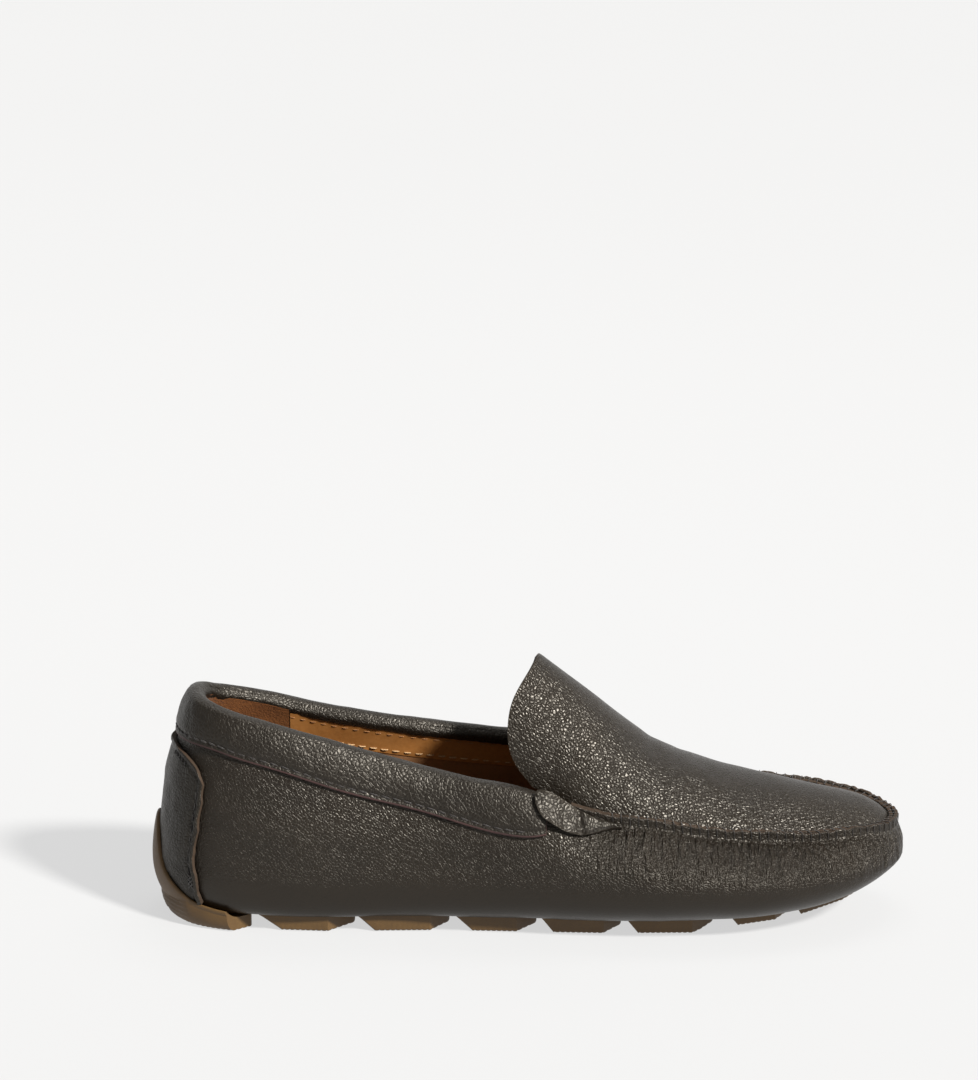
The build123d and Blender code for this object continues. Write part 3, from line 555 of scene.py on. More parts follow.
WRAP_LEATHER = pebbled_leather("wrap_leather", linear(19, 14, 9), linear(29, 22, 15), 0.0011, 0.00018, 0.36,
                               streaks=4.2, smooth_below=0.016)
PLUG_LEATHER = pebbled_leather("plug_leather", linear(20, 15, 10), linear(30, 24, 16), 0.0012, 0.00019, 0.35)
COLLAR_SKIN = pebbled_leather("collar_leather", linear(18, 14, 10), linear(27, 22, 16), 0.0014, 0.00015, 0.42)
PATCH_SKIN = pebbled_leather("patch_leather_grain", linear(15, 12, 9), linear(23, 19, 14), 0.0015, 0.00018,
                             0.42)
RAW_EDGE = plain_leather("raw_leather_edge", linear(40, 31, 23), linear(60, 47, 36),
                         1400.0, 0.00012, 0.78, 0.2)
FOLD_EDGE = plain_leather("folded_edge", linear(46, 30, 29), linear(70, 48, 45), 900.0, 0.00008, 0.55, 0.3)
TAN_SMOOTH = plain_leather("tan_lining", linear(134, 86, 40), linear(158, 108, 57), 700.0, 0.00004, 0.46, 0.4)
TAN_ROUGH = plain_leather("tan_split_lining", linear(106, 70, 38), linear(130, 90, 52),
                          1500.0, 0.00010, 0.72, 0.25, 0.15)
SUEDE = plain_leather("brown_suede_nap", linear(76, 44, 22), linear(108, 68, 36),
                      1300.0, 0.0005, 0.95, 0.05, 0.05)
SOCK = plain_leather("sock_leather_finish", linear(132, 90, 52), linear(156, 110, 66),
                     800.0, 0.00005, 0.55, 0.3)
RUBBER = plain_leather("gum_rubber_finish", linear(70, 50, 23), linear(86, 63, 30), 1200.0, 0.00004, 0.5, 0.4)
FOAM = plain_leather("cell_foam", linear(196, 186, 160), linear(214, 205, 182), 2600.0, 0.00012, 0.9, 0.2)
BOARD = plain_leather("counter_board_fibre", linear(150, 128, 98), linear(170, 148, 118),
                      1800.0, 0.00006, 0.85, 0.2)
DARK_THREAD = twisted_thread("dark_waxed_thread", linear(20, 16, 14), linear(38, 31, 27))
LINING_THREAD = twisted_thread("brown_waxed_thread", linear(132, 88, 46), linear(156, 108, 62))
TAN_THREAD = twisted_thread("tan_waxed_thread", linear(150, 116, 76), linear(186, 152, 108))


# ---------------------------------------------------------------- gathers along the plug seam
CLOSE_FOLDS, WIDE_FOLDS, FINE_FOLDS = 0.58, 0.52, 0.16     # their relief in millimetres
SEAM_STEP = 0.47                   # between columns of points along the gathered seam
PLAIN_STEP = 1.5

def spaced(start, end, step_at):
    """Values from start to end whose spacing is step_at(t)."""
    fine = np.linspace(start, end, 4001)
    count = np.concatenate([[0], np.cumsum((fine[1:] - fine[:-1]) / step_at((fine[1:] + fine[:-1]) / 2))])
    total = int(round(count[-1]))
    return np.interp(np.linspace(0, count[-1], total + 1), count, fine)


def ridge_inset(t):
    point, inward = frame_at(t)
    return np.sum((wall(t, wrap_top(t), 0.0)[..., :2] - point) * inward, axis=-1)


def wrap_top(t):
    x = x_of(t)
    top = reference_top(t)
    return np.where(x > RIDGE_START_X, top, np.minimum(collar_seam_z(x) + WRAP_UNDER_COLLAR, top))


def ridge_rise(x):
    return np.interp(x, [RIDGE_START_X - 6, RIDGE_FULL_X], [FLAT_RIDGE, RIDGE_HEIGHT])


_seam_t = np.linspace(-T_END / 2, T_END / 2, 3201)
_seam_points = place(_seam_t, ridge_inset(_seam_t), wrap_top(_seam_t))
_seam_length = np.concatenate([[0], np.cumsum(np.linalg.norm(np.diff(_seam_points, axis=0), axis=1))])
_seam_length -= np.interp(0.0, _seam_t, _seam_length)


def seam_length(t):
    """Length along the plug seam from the toe tip: positive on the lateral side."""
    t = (np.asarray(t) + T_END / 2) % T_END - T_END / 2
    return np.interp(t, _seam_t, _seam_length)


def fold_profile(phase):
    """Round crests and sharp valleys, between -1 and about 0.6."""
    return 1.6 * np.abs(np.sin(np.pi * phase)) ** 0.75 - 1.0


def gather_zone(t, down):
    """Where fine streaks run down from the seam, between 0 and 1."""
    return ease(x_of(t), 12.0, 34.0) * (1 - ease(down, 12.0, 26.0))


def gathers(t, down):
    """How far the wrap stands out in its gathers, down being the distance below the seam."""
    x = x_of(t)
    length = seam_length(t)
    strength = ease(x, 14.0, 36.0) * (1.0 - 0.35 * ease(x, 132.0, 142.0))
    strength = strength * (0.85 + 0.45 * noise_a(length / 7.0, 3.0))
    phase = length / SEAM_PITCH + 0.30 * noise_a(length / 9.0, down / 8.0, 5.0) * ease(down, 0.5, 6.0)
    wide = 0.5 * length / SEAM_PITCH + 0.55 * noise_b(length / 8.0, down / 9.0, 2.0) + 0.25
    reach = 1.0 + 0.45 * noise_b(length / 4.0, 9.0)
    close = np.exp(-(down / (8.5 * reach)) ** 1.6)
    farther = ease(down, 1.5, 6.0) * np.exp(-(down / (14.5 * reach)) ** 2.2)
    fine = length / 1.25 + 0.9 * noise_b(length / 3.0, down / 6.0, 8.0)
    fine_zone = ease(down, 0.8, 3.0) * bell(down, 13.0 * reach)
    return strength * (CLOSE_FOLDS * close * fold_profile(phase) + WIDE_FOLDS * farther * fold_profile(wide)
                       + FINE_FOLDS * fine_zone * np.sin(2 * np.pi * fine))


def undulation(t, z):
    """Slow unevenness of the stretched leather."""
    point = outline_at(t)
    return 0.30 * noise_a(point[..., 0] / 17.0, point[..., 1] / 17.0, z / 11.0) \
        + 0.12 * noise_b(point[..., 0] / 6.0, point[..., 1] / 6.0, z / 5.0)


# ---------------------------------------------------------------- the wrap
def make_wrap_mesh():
    t = spaced(0, T_END, lambda t: np.where(x_of(t) > RIDGE_START_X - 4, SEAM_STEP, PLAIN_STEP))[:-1]
    x, length = x_of(t), seam_length(t)
    bottom_rows = [(feather_at(t) + LIP_WIDTH * share) for share in (1.0, 0.5)]
    outer = [place(t, inset, local_bottom(t, inset)) for inset in bottom_rows]
    low_rows, still = 16, np.zeros_like(t)
    wear_and_painted_light, zones = [still] * low_rows, [still] * low_rows
    for share in np.linspace(1.0, 0.0, 15)[:-1]:
        angle = np.full_like(t, share * np.pi / 2)
        bare = rounded(t, angle, 0.0)
        outer.append(rounded(t, angle, -0.6 * undulation(t, bare[..., 2])))
    top = wrap_top(t)
    for share in np.linspace(0, 1, 40):
        z = BULGE_Z + (top - BULGE_Z) * share
        bare = wall(t, z, 0.0)
        down = np.hypot(top - z, np.sum((wall(t, top, 0.0) - bare)[..., :2] ** 2, axis=-1) ** 0.5)
        settle = 1.0 - 0.75 * (1.0 - ease(down, 0.0, 1.2))
        stand = gathers(t, down) * settle + 0.8 * undulation(t, z)
        outer.append(wall(t, z, -stand))
        # Wear and painted light: the gathers' crests are painted paler as highlight and their valleys darker
        # as shade, from nothing at the seam downwards.
        wear_and_painted_light.append(np.clip(stand, -0.6, 0.6) * ease(down, 0.0, 2.0))
        zones.append(gather_zone(t, down))
    count_outer = len(outer)
    inset = ridge_inset(t)
    groove = outer[-1][..., 2]
    jag = 0.34 * noise_a(length / 1.7, 1.0) + 0.40 * noise_b(length / 5.5, 2.0)
    jag = jag * ease(x, RIDGE_START_X, RIDGE_FULL_X)
    tip = wall(t, top, 0.0)[..., 2] + ridge_rise(x) + jag
    pinch = (0.06 * np.cos(2 * np.pi * length / SEAM_PITCH) + 0.20 * noise_a(length / 2.6, 4.0)) \
        * ease(x, RIDGE_START_X, RIDGE_FULL_X)
    for share in (0.25, 0.5, 0.75, 0.95):
        bow = 0.25 * np.sin(np.pi * share)
        outer.append(place(t, inset - pinch * (1 - 0.4 * share) + bow, groove + (tip - groove) * share))
    for share in (0.12, 0.5, 0.88):
        rise = 0.10 * noise_b(length / 0.8, share * 3.0)
        outer.append(place(t, inset + LEATHER * share, tip + rise))
    for share in (0.95, 0.6, 0.2):
        outer.append(place(t, inset + LEATHER, groove + (tip - groove) * share))
    inner = []
    for share in np.linspace(1, 0, 14)[1:]:
        inner.append(wall(t, BULGE_Z + (top - BULGE_Z) * share, LEATHER))
    for share in np.linspace(0, 1.0, 7)[1:]:
        inner.append(rounded(t, np.full_like(t, share * np.pi / 2), LEATHER))
    for inset_row in bottom_rows[::-1]:
        inner.append(place(t, inset_row, local_bottom(t, inset_row) + LEATHER))
    zone = np.stack(zones + [still] * (len(outer + inner) - count_outer), axis=1)
    raw_rows = (count_outer + 4, count_outer + 5)
    return ring_part(outer + inner, raw_rows, closed=True, wear_and_painted_light=wear_and_painted_light), zone.ravel()


def strip_sides(x, inset_at):
    """Lateral and medial Y, at x, of the outline moved in by inset_at(t)."""
    sides = []
    for lateral in (True, False):
        t = t_at(x, lateral)
        sides.append(place(t, inset_at(t), 0.0)[..., 1])
    return sides


PLATE_ENDS = (-126.0, 118.0)


def make_plate_mesh():
    """The middle of the wrap's bottom, inside its lip."""
    x = np.linspace(*PLATE_ENDS, 60)
    low, high = strip_sides(x, lambda t: feather_at(t) + LIP_WIDTH / 2)
    share = np.linspace(0, 1, 12)
    y = low[:, None] + (high - low)[:, None] * share
    xs = np.broadcast_to(x[:, None], y.shape)
    under = np.stack([xs, y, bottom_z(xs) + 0.04], axis=-1)
    over = under + np.array([0, 0, LEATHER - 0.1])
    return sheet_part(under, over)


# ---------------------------------------------------------------- the plug and the tongue
PLUG_FRONT_ROUND = 16.0
FLEX_CREASES = ((47.0, 0.10, 2.6, 0.35), (57.0, -0.06, 2.2, 0.25))     # X, lean, width and depth
LINING_HALF_ANGLE = 1.42
FAR_EDGE_SHIFT = 7.0            # the tongue's medial edge is pulled this far forward


def edge_gap(x):
    return np.interp(x, [COLLAR_END_X, RIDGE_FULL_X], [5.0, LEATHER + SEAM_GAP])


def edge_curve(lateral, further_in):
    t = np.linspace(0, T_HEEL, 801) if lateral else np.linspace(T_HEEL, T_END, 801)
    points = place(t, top_inset(x_of(t)) + edge_gap(x_of(t)) + further_in, 0.0)
    order = np.argsort(points[:, 0])
    return points[order, 0], points[order, 1]


PLUG_EDGES = {lateral: edge_curve(lateral, LEATHER / 2) for lateral in (True, False)}
PLUG_TOE_X = min(PLUG_EDGES[True][0][-1], PLUG_EDGES[False][0][-1]) - 0.05


def plug_point(x, angle):
    """The plug's upper surface: angle runs across it from -90 to 90 degrees."""
    y_left = np.interp(x, *PLUG_EDGES[True])
    y_right = np.interp(x, *PLUG_EDGES[False])
    z_left, z_right = top_lateral(x) - 0.1, top_medial(x) - 0.1
    near_toe = np.clip((x - (PLUG_TOE_X - PLUG_FRONT_ROUND)) / PLUG_FRONT_ROUND, 0.0, 1.0)
    front = np.sqrt(np.clip(1 - near_toe ** 3, 0.0, 1.0))
    share = (1 + np.sin(angle)) / 2
    base = z_left * (1 - share) + z_right * share
    lift = np.maximum(np.cos(angle), 0.0) ** fullness(x)
    y = (y_left + y_right) / 2 + (y_right - y_left) / 2 * np.sin(angle)
    return np.stack([x + 0 * angle, y, base + (crown_z(x) - (z_left + z_right) / 2) * lift * front], axis=-1)


def tongue_start(angles):
    """The x where the tongue's free edge crosses each line that runs along the plug."""
    probe = np.linspace(-12.0, 30.0, 601)
    grid = plug_point(probe[:, None], angles[None, :])
    pulled = FAR_EDGE_SHIFT * ease(np.sin(angles), 0.0, 0.35)[None, :] * ease(grid[..., 2], 58.0, 72.0)
    inside = grid[..., 0] >= tongue_edge_x(np.clip(grid[..., 2], 55.5, 101.4)) + pulled
    start = probe[np.argmax(inside, axis=0)]
    return np.convolve(np.pad(start, 3, mode="edge"), np.ones(7) / 7, mode="valid")


def make_plug_lining_mesh():
    """The thin lining under the plug and the tongue, a little short of its free edge."""
    angles = np.linspace(-LINING_HALF_ANGLE, LINING_HALF_ANGLE, 91)
    start = tongue_start(angles) + 1.3
    x = start[None, :] + (LINING_TOE_X - start)[None, :] * np.linspace(0, 1, 90)[:, None]
    surface = plug_point(x, np.broadcast_to(angles[None, :], x.shape))
    normal = grid_normals(surface)
    normal = np.where(normal[..., 2:3] < 0, -normal, normal)
    waves = 0.10 * noise_b(x / 9.0, angles[None, :] * 5.0, 4.0)[..., None]
    return sheet_part(surface - normal * (LEATHER + GLUE_GAP), surface - normal * (LEATHER + LINING + waves))


def make_plug_mesh():
    angles = np.linspace(-np.pi / 2, np.pi / 2, 151)
    smooth_start = tongue_start(angles)
    share = np.sin(np.linspace(0, 1, 190) * np.pi / 2)[:-1]
    share = np.concatenate([[0, 0.0012, 0.003, 0.006], share[1:]])
    x = smooth_start[None, :] + (PLUG_TOE_X - smooth_start)[None, :] * share[:, None]
    angle = np.broadcast_to(angles[None, :], x.shape)
    surface = plug_point(x, angle)
    normal = grid_normals(surface)
    normal = np.where(normal[..., 2:3] < 0, -normal, normal)
    half = (np.interp(x, *PLUG_EDGES[False]) - np.interp(x, *PLUG_EDGES[True])) / 2
    to_side = (half + 2.5) * (1 - np.abs(np.sin(angle)))
    to_edge = np.minimum(to_side, PLUG_TOE_X - x + 0.3)
    side_sign = np.where(angle < 0, 1.0, -1.0)
    t_side = np.where(angle < 0, t_at(x, True), t_at(x, False))
    length = np.abs(seam_length(t_side))
    phase = length / SEAM_PITCH + 0.2 * noise_a(length / 8.0, to_edge / 4.0, side_sign)
    pucker = 0.26 * fold_profile(phase) * np.exp(-to_edge / 3.2) * ease(x, 20.0, 40.0)
    soft = lumps_at(surface[..., 0], surface[..., 1], (0.35, 21.0, 15.0, 3.0), (0.13, 8.0, 7.0, 6.0))
    tongue = 1.0 - ease(x, 0.0, 34.0)
    flexed = 0.0
    for crease_x, lean, width, depth in FLEX_CREASES:
        from_crease = surface[..., 0] - crease_x + lean * surface[..., 1]
        flexed = flexed - depth * bell(from_crease, width)
    stand = pucker + soft * (1 - 0.4 * tongue) + flexed * np.cos(angle)
    stand = stand * ease(to_edge, 0.0, 1.0)
    outer = surface + normal * stand[..., None]
    inner = surface - normal * LEATHER
    # Wear and painted light: a paler band along the tongue's free edge, crests of the puckers and lumps
    # painted paler as highlight and the flex creases painted darker as shade.
    rim = np.zeros_like(x)
    rim[:3] = 0.8
    vertices, faces, kinds, wear_and_painted_light = sheet_part(outer, inner, wear_and_painted_light=np.clip(stand, -0.4, 0.5) + rim)
    grid_faces = 2 * (outer.shape[0] - 1) * (outer.shape[1] - 1)
    for k in range(outer.shape[1] - 1):
        kinds[grid_faces + k] = 1
    return vertices, faces, kinds, wear_and_painted_light


def make_plug_margin():
    start, end = t_at(RIDGE_START_X, False) - T_END, t_at(RIDGE_START_X, True)
    t = spaced(start, end, lambda t: np.full_like(t, SEAM_STEP))
    x, length = x_of(t), seam_length(t)
    inset = ridge_inset(t) + LEATHER + SEAM_GAP
    groove = wall(t, wrap_top(t), 0.0)[..., 2]
    jag = 0.30 * noise_b(length / 1.4, 5.0) + 0.30 * noise_a(length / 5.0, 7.0)
    full = ease(x, RIDGE_START_X, RIDGE_FULL_X)
    tip = groove + ridge_rise(x) - 0.25 * full + jag * full
    low = groove - MARGIN_ROOT
    pinch = 0.10 * np.cos(2 * np.pi * length / SEAM_PITCH) * full
    rows = [place(t, inset, low), place(t, inset, (low + tip) / 2), place(t, inset, tip - 0.2)]
    for share in (0.12, 0.5, 0.88):
        rows.append(place(t, inset + LEATHER * share, tip + 0.1 * noise_a(length / 0.8, share * 3.0)))
    for share in (0.95, 0.7, 0.45, 0.2, 0.0):
        rows.append(place(t, inset + LEATHER + pinch * (1 - 0.4 * share), low + (tip - low) * share))
    return ring_part(rows, edge_rows=(2, 3, 4, 5))


# ---------------------------------------------------------------- the collar
def collar_columns():
    start, end = both_at(COLLAR_END_X)
    return np.linspace(start, end, int((end - start) / COLLAR_STEP))


ROLL_COVER = math.radians(125.0)     # the collar's leather goes this far over the roll, from its outer side
COVER_LIFT = 0.25
COLLAR_ROW_UP = 2.1                  # of the stitch row, above the collar's lower edge
PAD_STAND = 1.15
COLLAR_STEP = 0.9


def pinches(t, pitch=STITCH_PITCH):
    """1 at each stitch of a row and 0 between them."""
    return np.cos(np.pi * np.asarray(t) / pitch) ** 6


def make_collar_mesh():
    """The padded collar: up from its folded lower edge, over the topline, and a little way down inside."""
    t = collar_columns()
    x = x_of(t)
    top = reference_top(t)
    low = collar_seam_z(x)
    high = top - ROLL_HEIGHT / 2
    tall = high - low
    padded = np.clip((tall - 5.5) / 7.0, 0.15, 1.0)
    roll_middle = ROLL_THICKNESS / 2 - COLLAR_LEATHER
    rows, wear_and_painted_light = [], []
    for share in np.concatenate([[0, 0.02, 0.05, 0.09, 0.13, 0.17, 0.21], np.linspace(0.25, 1.0, 26)]):
        z = low + tall * share
        above = tall * share
        fold = 0.45 * np.sqrt(np.clip(1 - (np.clip(1.1 - above, 0, 1.1) / 1.1) ** 2, 0, 1)) - 0.45
        groove = -0.36 * bell(above - COLLAR_ROW_UP, 0.75) * (0.55 + 0.45 * pinches(t))
        up_the_pad = np.clip((above - COLLAR_ROW_UP) / np.maximum(tall + 1.0, 1.0), 0, 1)
        pad = PAD_STAND * np.sin(np.pi * up_the_pad) ** 0.8 * padded
        puffs = lumps_at(t, z, (0.22, 7.5, 6.0, 4.0), (0.10, 3.0, 3.0, 4.0))
        puffs = puffs + 0.10 * (1 - pinches(t)) * bell(above - 3.6, 1.3)
        stand = COLLAR_LEATHER + 2 * GLUE_GAP + 0.15 + fold + groove + pad + puffs * ease(above, 0.5, 2.0)
        rows.append(wall(t, z, -stand))
        # Wear and painted light: paler along the folded lower edge and on the puffs' crests as painted
        # highlight, darker in the stitch groove and hollows as painted shade.
        wear_and_painted_light.append(0.4 * bell(above, 0.8) + 0.5 * puffs + groove)
    last_stand = stand
    for angle in np.linspace(0, ROLL_COVER, 16)[1:]:
        reach = last_stand + roll_middle
        lumps = 0.14 * noise_a(t / 7.5, top / 6.0 + angle, 4.0)
        across = reach + (ROLL_THICKNESS / 2 + COVER_LIFT - reach) * ease(angle, 0.0, 1.2)
        z = np.minimum(high + (ROLL_HEIGHT / 2 + COVER_LIFT + lumps) * math.sin(angle), top + 0.6)
        rows.append(wall(t, z, roll_middle - (across + lumps) * math.cos(angle)))
        # Painted sheen: the roll's covering is paler towards its top.
        wear_and_painted_light.append(0.25 * math.sin(angle) + lumps)
    for angle in np.linspace(ROLL_COVER, 0, 12):
        z = high + (ROLL_HEIGHT / 2 - 0.4) * math.sin(angle)
        rows.append(wall(t, z, roll_middle - (ROLL_THICKNESS / 2 - 0.4) * math.cos(angle)))
    for share in (0.6, 0.3, 0.0):
        rows.append(wall(t, low + (tall - ROLL_HEIGHT / 2) * share, -2 * GLUE_GAP))
    return ring_part(rows, edge_rows=(0, 1, len(rows) - 1), wear_and_painted_light=wear_and_painted_light)


def make_binding_mesh():
    t = collar_columns()
    top = reference_top(t)
    middle = ROLL_THICKNESS / 2 - COLLAR_LEATHER
    rows, wear_and_painted_light = [], []
    for angle in np.linspace(0, 2 * np.pi, 26, endpoint=False):
        lumps = lumps_at(t, angle, (0.12, 6.0, 1.0, 6.0), (0.05, 1.7, 0.5, 6.0))
        dent = 0.20 * pinches(t) * max(0.0, -math.sin(angle)) * (math.cos(angle) > 0)
        swell = 1.0 + (lumps - dent) / 2.6
        up, out = math.sin(angle), -math.cos(angle)
        square = 0.45 if up < 0 else 1.0
        reach = ROLL_THICKNESS / 2 + (1.1 if out < 0 else 0.0)
        across = math.copysign(abs(out) ** square, out)
        rise = math.copysign(abs(up) ** (square if up < 0 else 1.0), up)
        z = top - ROLL_HEIGHT / 2 + ROLL_HEIGHT / 2 * rise * swell
        rows.append(wall(t, np.minimum(z, top + 0.4), middle - reach * across * swell))
        # Painted sheen: the roll's upper half is paler, and its lumps add to this with their height.
        wear_and_painted_light.append(0.5 * np.clip(np.sin(angle), 0, 1) + lumps)
    return ring_part(rows, wear_and_painted_light=wear_and_painted_light)


# ---------------------------------------------------------------- heel patch and tabs
def make_patch_mesh():
    u = np.linspace(-1, 1, 120)
    v = np.linspace(0, 1, 110)
    u, v = np.meshgrid(u, v)
    top = patch_top(np.abs(u) * PATCH_HALF_ARC)
    z = PATCH_BOTTOM_Z + v * (top - PATCH_BOTTOM_Z)
    half = patch_half(z)
    t = T_HEEL + u * half
    ragged = 0.35 * noise_a(z / 2.2, u * 40, 2.0)
    t = t + ragged * ease(np.abs(u), 0.85, 1.0) * np.sign(u)
    to_side = (1 - np.abs(u)) * half
    to_top = (1 - v) * (top - PATCH_BOTTOM_Z)
    to_edge = np.minimum(to_side, to_top + 0.3)
    ridge = 0.75 * bell(to_edge - 0.9, 1.0) - 0.30 * bell(to_edge - 2.6, 0.8)
    ridge = ridge * (0.8 + 0.5 * noise_b(z / 2.6, u * 12, 5.0))
    soft = lumps_at(t, z, (0.25, 9.0, 8.0, 9.0), (0.12, 3.5, 3.5, 9.0))
    stand = PATCH_GAP + PATCH_LEATHER + ridge + soft * ease(to_edge, 0.0, 3.0)
    outer = wall(t, z, -stand)
    inner = wall(t, z, -PATCH_GAP + 0.0 * z)
    # Wear and painted light: paler along the raised edge and on the lumps' crests, darker in their hollows as
    # painted shade.
    wear_and_painted_light = 0.9 * bell(to_edge, 0.8) + soft
    return sheet_part(outer, inner, edge_mark=1, wear_and_painted_light=wear_and_painted_light)


TAB_ENDS_X = (1.4, 33.5)
TAB_HEIGHT = 9.0


def make_tab_mesh(lateral):
    """The leaf at the collar's front corner: a rolled strip that tapers along the plug seam."""
    share = np.linspace(0, 1, 110)
    x = TAB_ENDS_X[0] + (TAB_ENDS_X[1] - TAB_ENDS_X[0]) * share
    t = t_at(x, lateral)
    round_end = np.sqrt(np.clip(1 - (np.clip(0.17 - share, 0, 0.17) / 0.17) ** 2, 0, 1))
    tall = np.maximum(TAB_HEIGHT * round_end * (1 - 0.88 * ease(share, 0.30, 1.0)), 0.6)
    top = reference_top(t) + 1.2 - 0.7 * ease(share, 0.3, 0.7) - 2.5 * (1 - round_end)
    over_collar = COLLAR_LEATHER + 3 * GLUE_GAP + 1.3
    base = over_collar + (0.75 - over_collar) * ease(x, COLLAR_END_X + 0.5, COLLAR_END_X + 9.0)
    rows, wear_and_painted_light = [], []
    for angle in np.linspace(0, 2 * np.pi, 30, endpoint=False):
        across = 0.5 + 0.5 * np.sin(angle)
        z = top - tall * (1 - across)
        rim = 0.9 * bell(1 - np.abs(np.sin(angle)), 0.16)
        fold = -0.9 * bell(x - 18.0 + 2.0 * (across - 0.5), 1.5)
        middle = -0.75 * bell(across - 0.5, 0.22)
        facing = np.cos(angle)
        thick = np.abs(facing) ** 0.5 * np.sign(facing) if abs(facing) > 1e-6 else 0.0
        outside = facing >= -1e-6
        stand = base + (thick + rim + (fold + middle) * outside)
        stand = stand + 0.18 * noise_a(x / 2.5, angle, 3.0)
        rows.append(wall(t, z, -stand))
        # Painted highlight: the rolled rim is painted pale.
        wear_and_painted_light.append(rim * 2.2 + 0 * x)
    return ring_part(rows, wear_and_painted_light=wear_and_painted_light)


# ---------------------------------------------------------------- linings
LINING_TOP_DROP = 2.5
SOCK_ENDS_X = (-136.0, 126.0)


def lining_low(t):
    return local_bottom(t, feather_at(t)) + LINING_ABOVE_BOTTOM


def lining_high(t):
    return reference_top(t) - LINING_TOP_DROP


def lining_strip_low(t):
    return reference_top(t) - COLLAR_LINING_HEIGHT


def lining_mesh(start, end, low, high, raised):
    rows, step = 30, 1.3
    t = np.linspace(start, end, int((end - start) / step) + 2)
    share = np.linspace(0, 1, rows)[:, None]
    z = low(t)[None, :] + (high(t) - low(t))[None, :] * share
    tt = np.broadcast_to(t[None, :], z.shape)
    depth = lining_depth(x_of(tt))
    waves = lumps_at(tt, z, (0.28, 16.0, 12.0, 1.0), (0.10, 5.0, 5.0, 1.0))
    edge = np.minimum(share * rows, (1 - share) * rows)
    waves = np.minimum(waves * ease(edge, 0.0, 3.0), 0.25)
    outer = wall(tt, z, depth + 0.02)
    inner = wall(tt, z, depth + LINING + raised + waves)
    return sheet_part(inner, outer, wear_and_painted_light=waves)


def lining_span(lateral):
    ends = t_at(HEEL_GRIP_FRONT_X + 0.4, lateral), t_at(LINING_FRONT_X, lateral)
    return min(ends), max(ends)


def make_sock_mesh():
    back, front = SOCK_ENDS_X
    x = np.concatenate([[back, back + 0.4, back + 1.0], np.linspace(back + 2.0, front - 2.0, 130),
                        [front - 1.0, front - 0.4, front]])
    low, high = strip_sides(x, lambda t: feather_at(t) * FOOTBED_SHARE + FOOTBED_MARGIN)
    across = np.sin(np.linspace(-np.pi / 2, np.pi / 2, 41))
    y = (low + high)[:, None] / 2 + (high - low)[:, None] / 2 * across[None, :]
    xs = np.broadcast_to(x[:, None], y.shape)
    bed = bottom_z(xs)
    crown = 0.35 * (1 - across[None, :] ** 4) + 0.25 * noise_a(xs / 19.0, y / 14.0, 2.0)
    over = np.stack([xs, y, bed + SOCK_LAYER[1] + crown - 0.5 * np.abs(across[None, :]) ** 12], axis=-1)
    under = np.stack([xs, y, bed + SOCK_LAYER[0]], axis=-1)
    return sheet_part(over, under)


# ---------------------------------------------------------------- rubber
RIB_PITCH = 2.0
RIB_DEPTH = 0.22
HEEL_CORNER = (9.0, 31.0, 7.0)     # of the heel rubber: along, from the middle, and across the cut
GUARD_INNER_POINTS = 13
TOOTH_PITCH, TOOTH_DEPTH = 1.7, 0.55
BLOCK_ROUND = 0.8
HEEL_FILL_BACK_X = -128.5


def rib(x):
    """Grooves across the sole: how far the tread rises at x."""
    wave = np.abs(np.mod(x / RIB_PITCH, 1.0) - 0.5) * 2
    return RIB_DEPTH * ease(wave, 0.45, 0.95)


def tread_sides(x):
    """Where the tread ends on the lateral and on the medial side."""
    sides = []
    for ts in (np.linspace(0, T_HEEL, 801), np.linspace(T_HEEL, T_END, 801)):
        edge = place(ts, feather_at(ts) + 0.5, 0.0)
        order = np.argsort(edge[:, 0])
        sides.append(np.interp(x, edge[order, 0], edge[order, 1]))
    return sides


def make_block_mesh(x_back, x_tread, x_corner, x_front):
    """A ribbed tread block: bevelled towards the heel, its toe corners cut off and its edges eased."""
    knots_x, knots_z = zip(*TREAD_Z)
    x = np.concatenate([[x_back, x_back + 0.12], np.arange(x_back + 0.4, x_front - BLOCK_ROUND, 0.25),
                        x_front - BLOCK_ROUND * (1 - np.sin(np.linspace(0, np.pi / 2, 6)))])
    tread = np.interp(x, knots_x, knots_z)
    back_top = bottom_z(x_back)
    bevel = np.clip((x - x_back) / (x_tread - x_back), 0.0, 1.0)
    floor = np.where(x < x_tread, back_top + (np.interp(x_tread, knots_x, knots_z) - back_top) * bevel, tread)
    floor = floor + rib(x) * ease(x, x_tread, x_tread + 0.5) * (1 - ease(x, x_front - 2.0, x_front - 1.2))
    back_sides, corner_sides = tread_sides(x_back), tread_sides(x_corner)
    along = np.clip((x - x_back) / (x_corner - x_back), 0.0, 1.0)
    low, high = (a + (b - a) * along for a, b in zip(back_sides, corner_sides))
    cut = np.clip((x - x_corner) / (x_front - x_corner), 0.0, 1.0) * BLOCK_CORNER
    into_round = np.clip(x - (x_front - BLOCK_ROUND), 0, BLOCK_ROUND)
    front_round = BLOCK_ROUND - np.sqrt(np.clip(BLOCK_ROUND ** 2 - into_round ** 2, 0, None))
    back_round = 0.5 * (1 - ease(x, x_back, x_back + 0.6))
    y_low, y_high = low + cut + front_round + back_round, high - cut - front_round - back_round
    rings = []
    for xi, fl, tp, yl, yh in zip(x, floor + front_round, bottom_z(x) + 0.35, y_low, y_high):
        radius = min(0.9, max(0.05, (tp - fl) * 0.45))
        draft = 0.35 * min(1.0, (tp - fl) / 6.0)
        corner = np.linspace(0, np.pi / 2, 5)
        reach, rise = draft + radius * (1 - np.cos(corner)), fl + radius * (1 - np.sin(corner))
        points = [(yl, tp), *zip(yl + reach, rise), *zip((yh - reach)[::-1], rise[::-1]), (yh, tp)]
        rings.append([(xi, py, pz) for py, pz in points])
    return ring_part(np.swapaxes(rings, 0, 1))


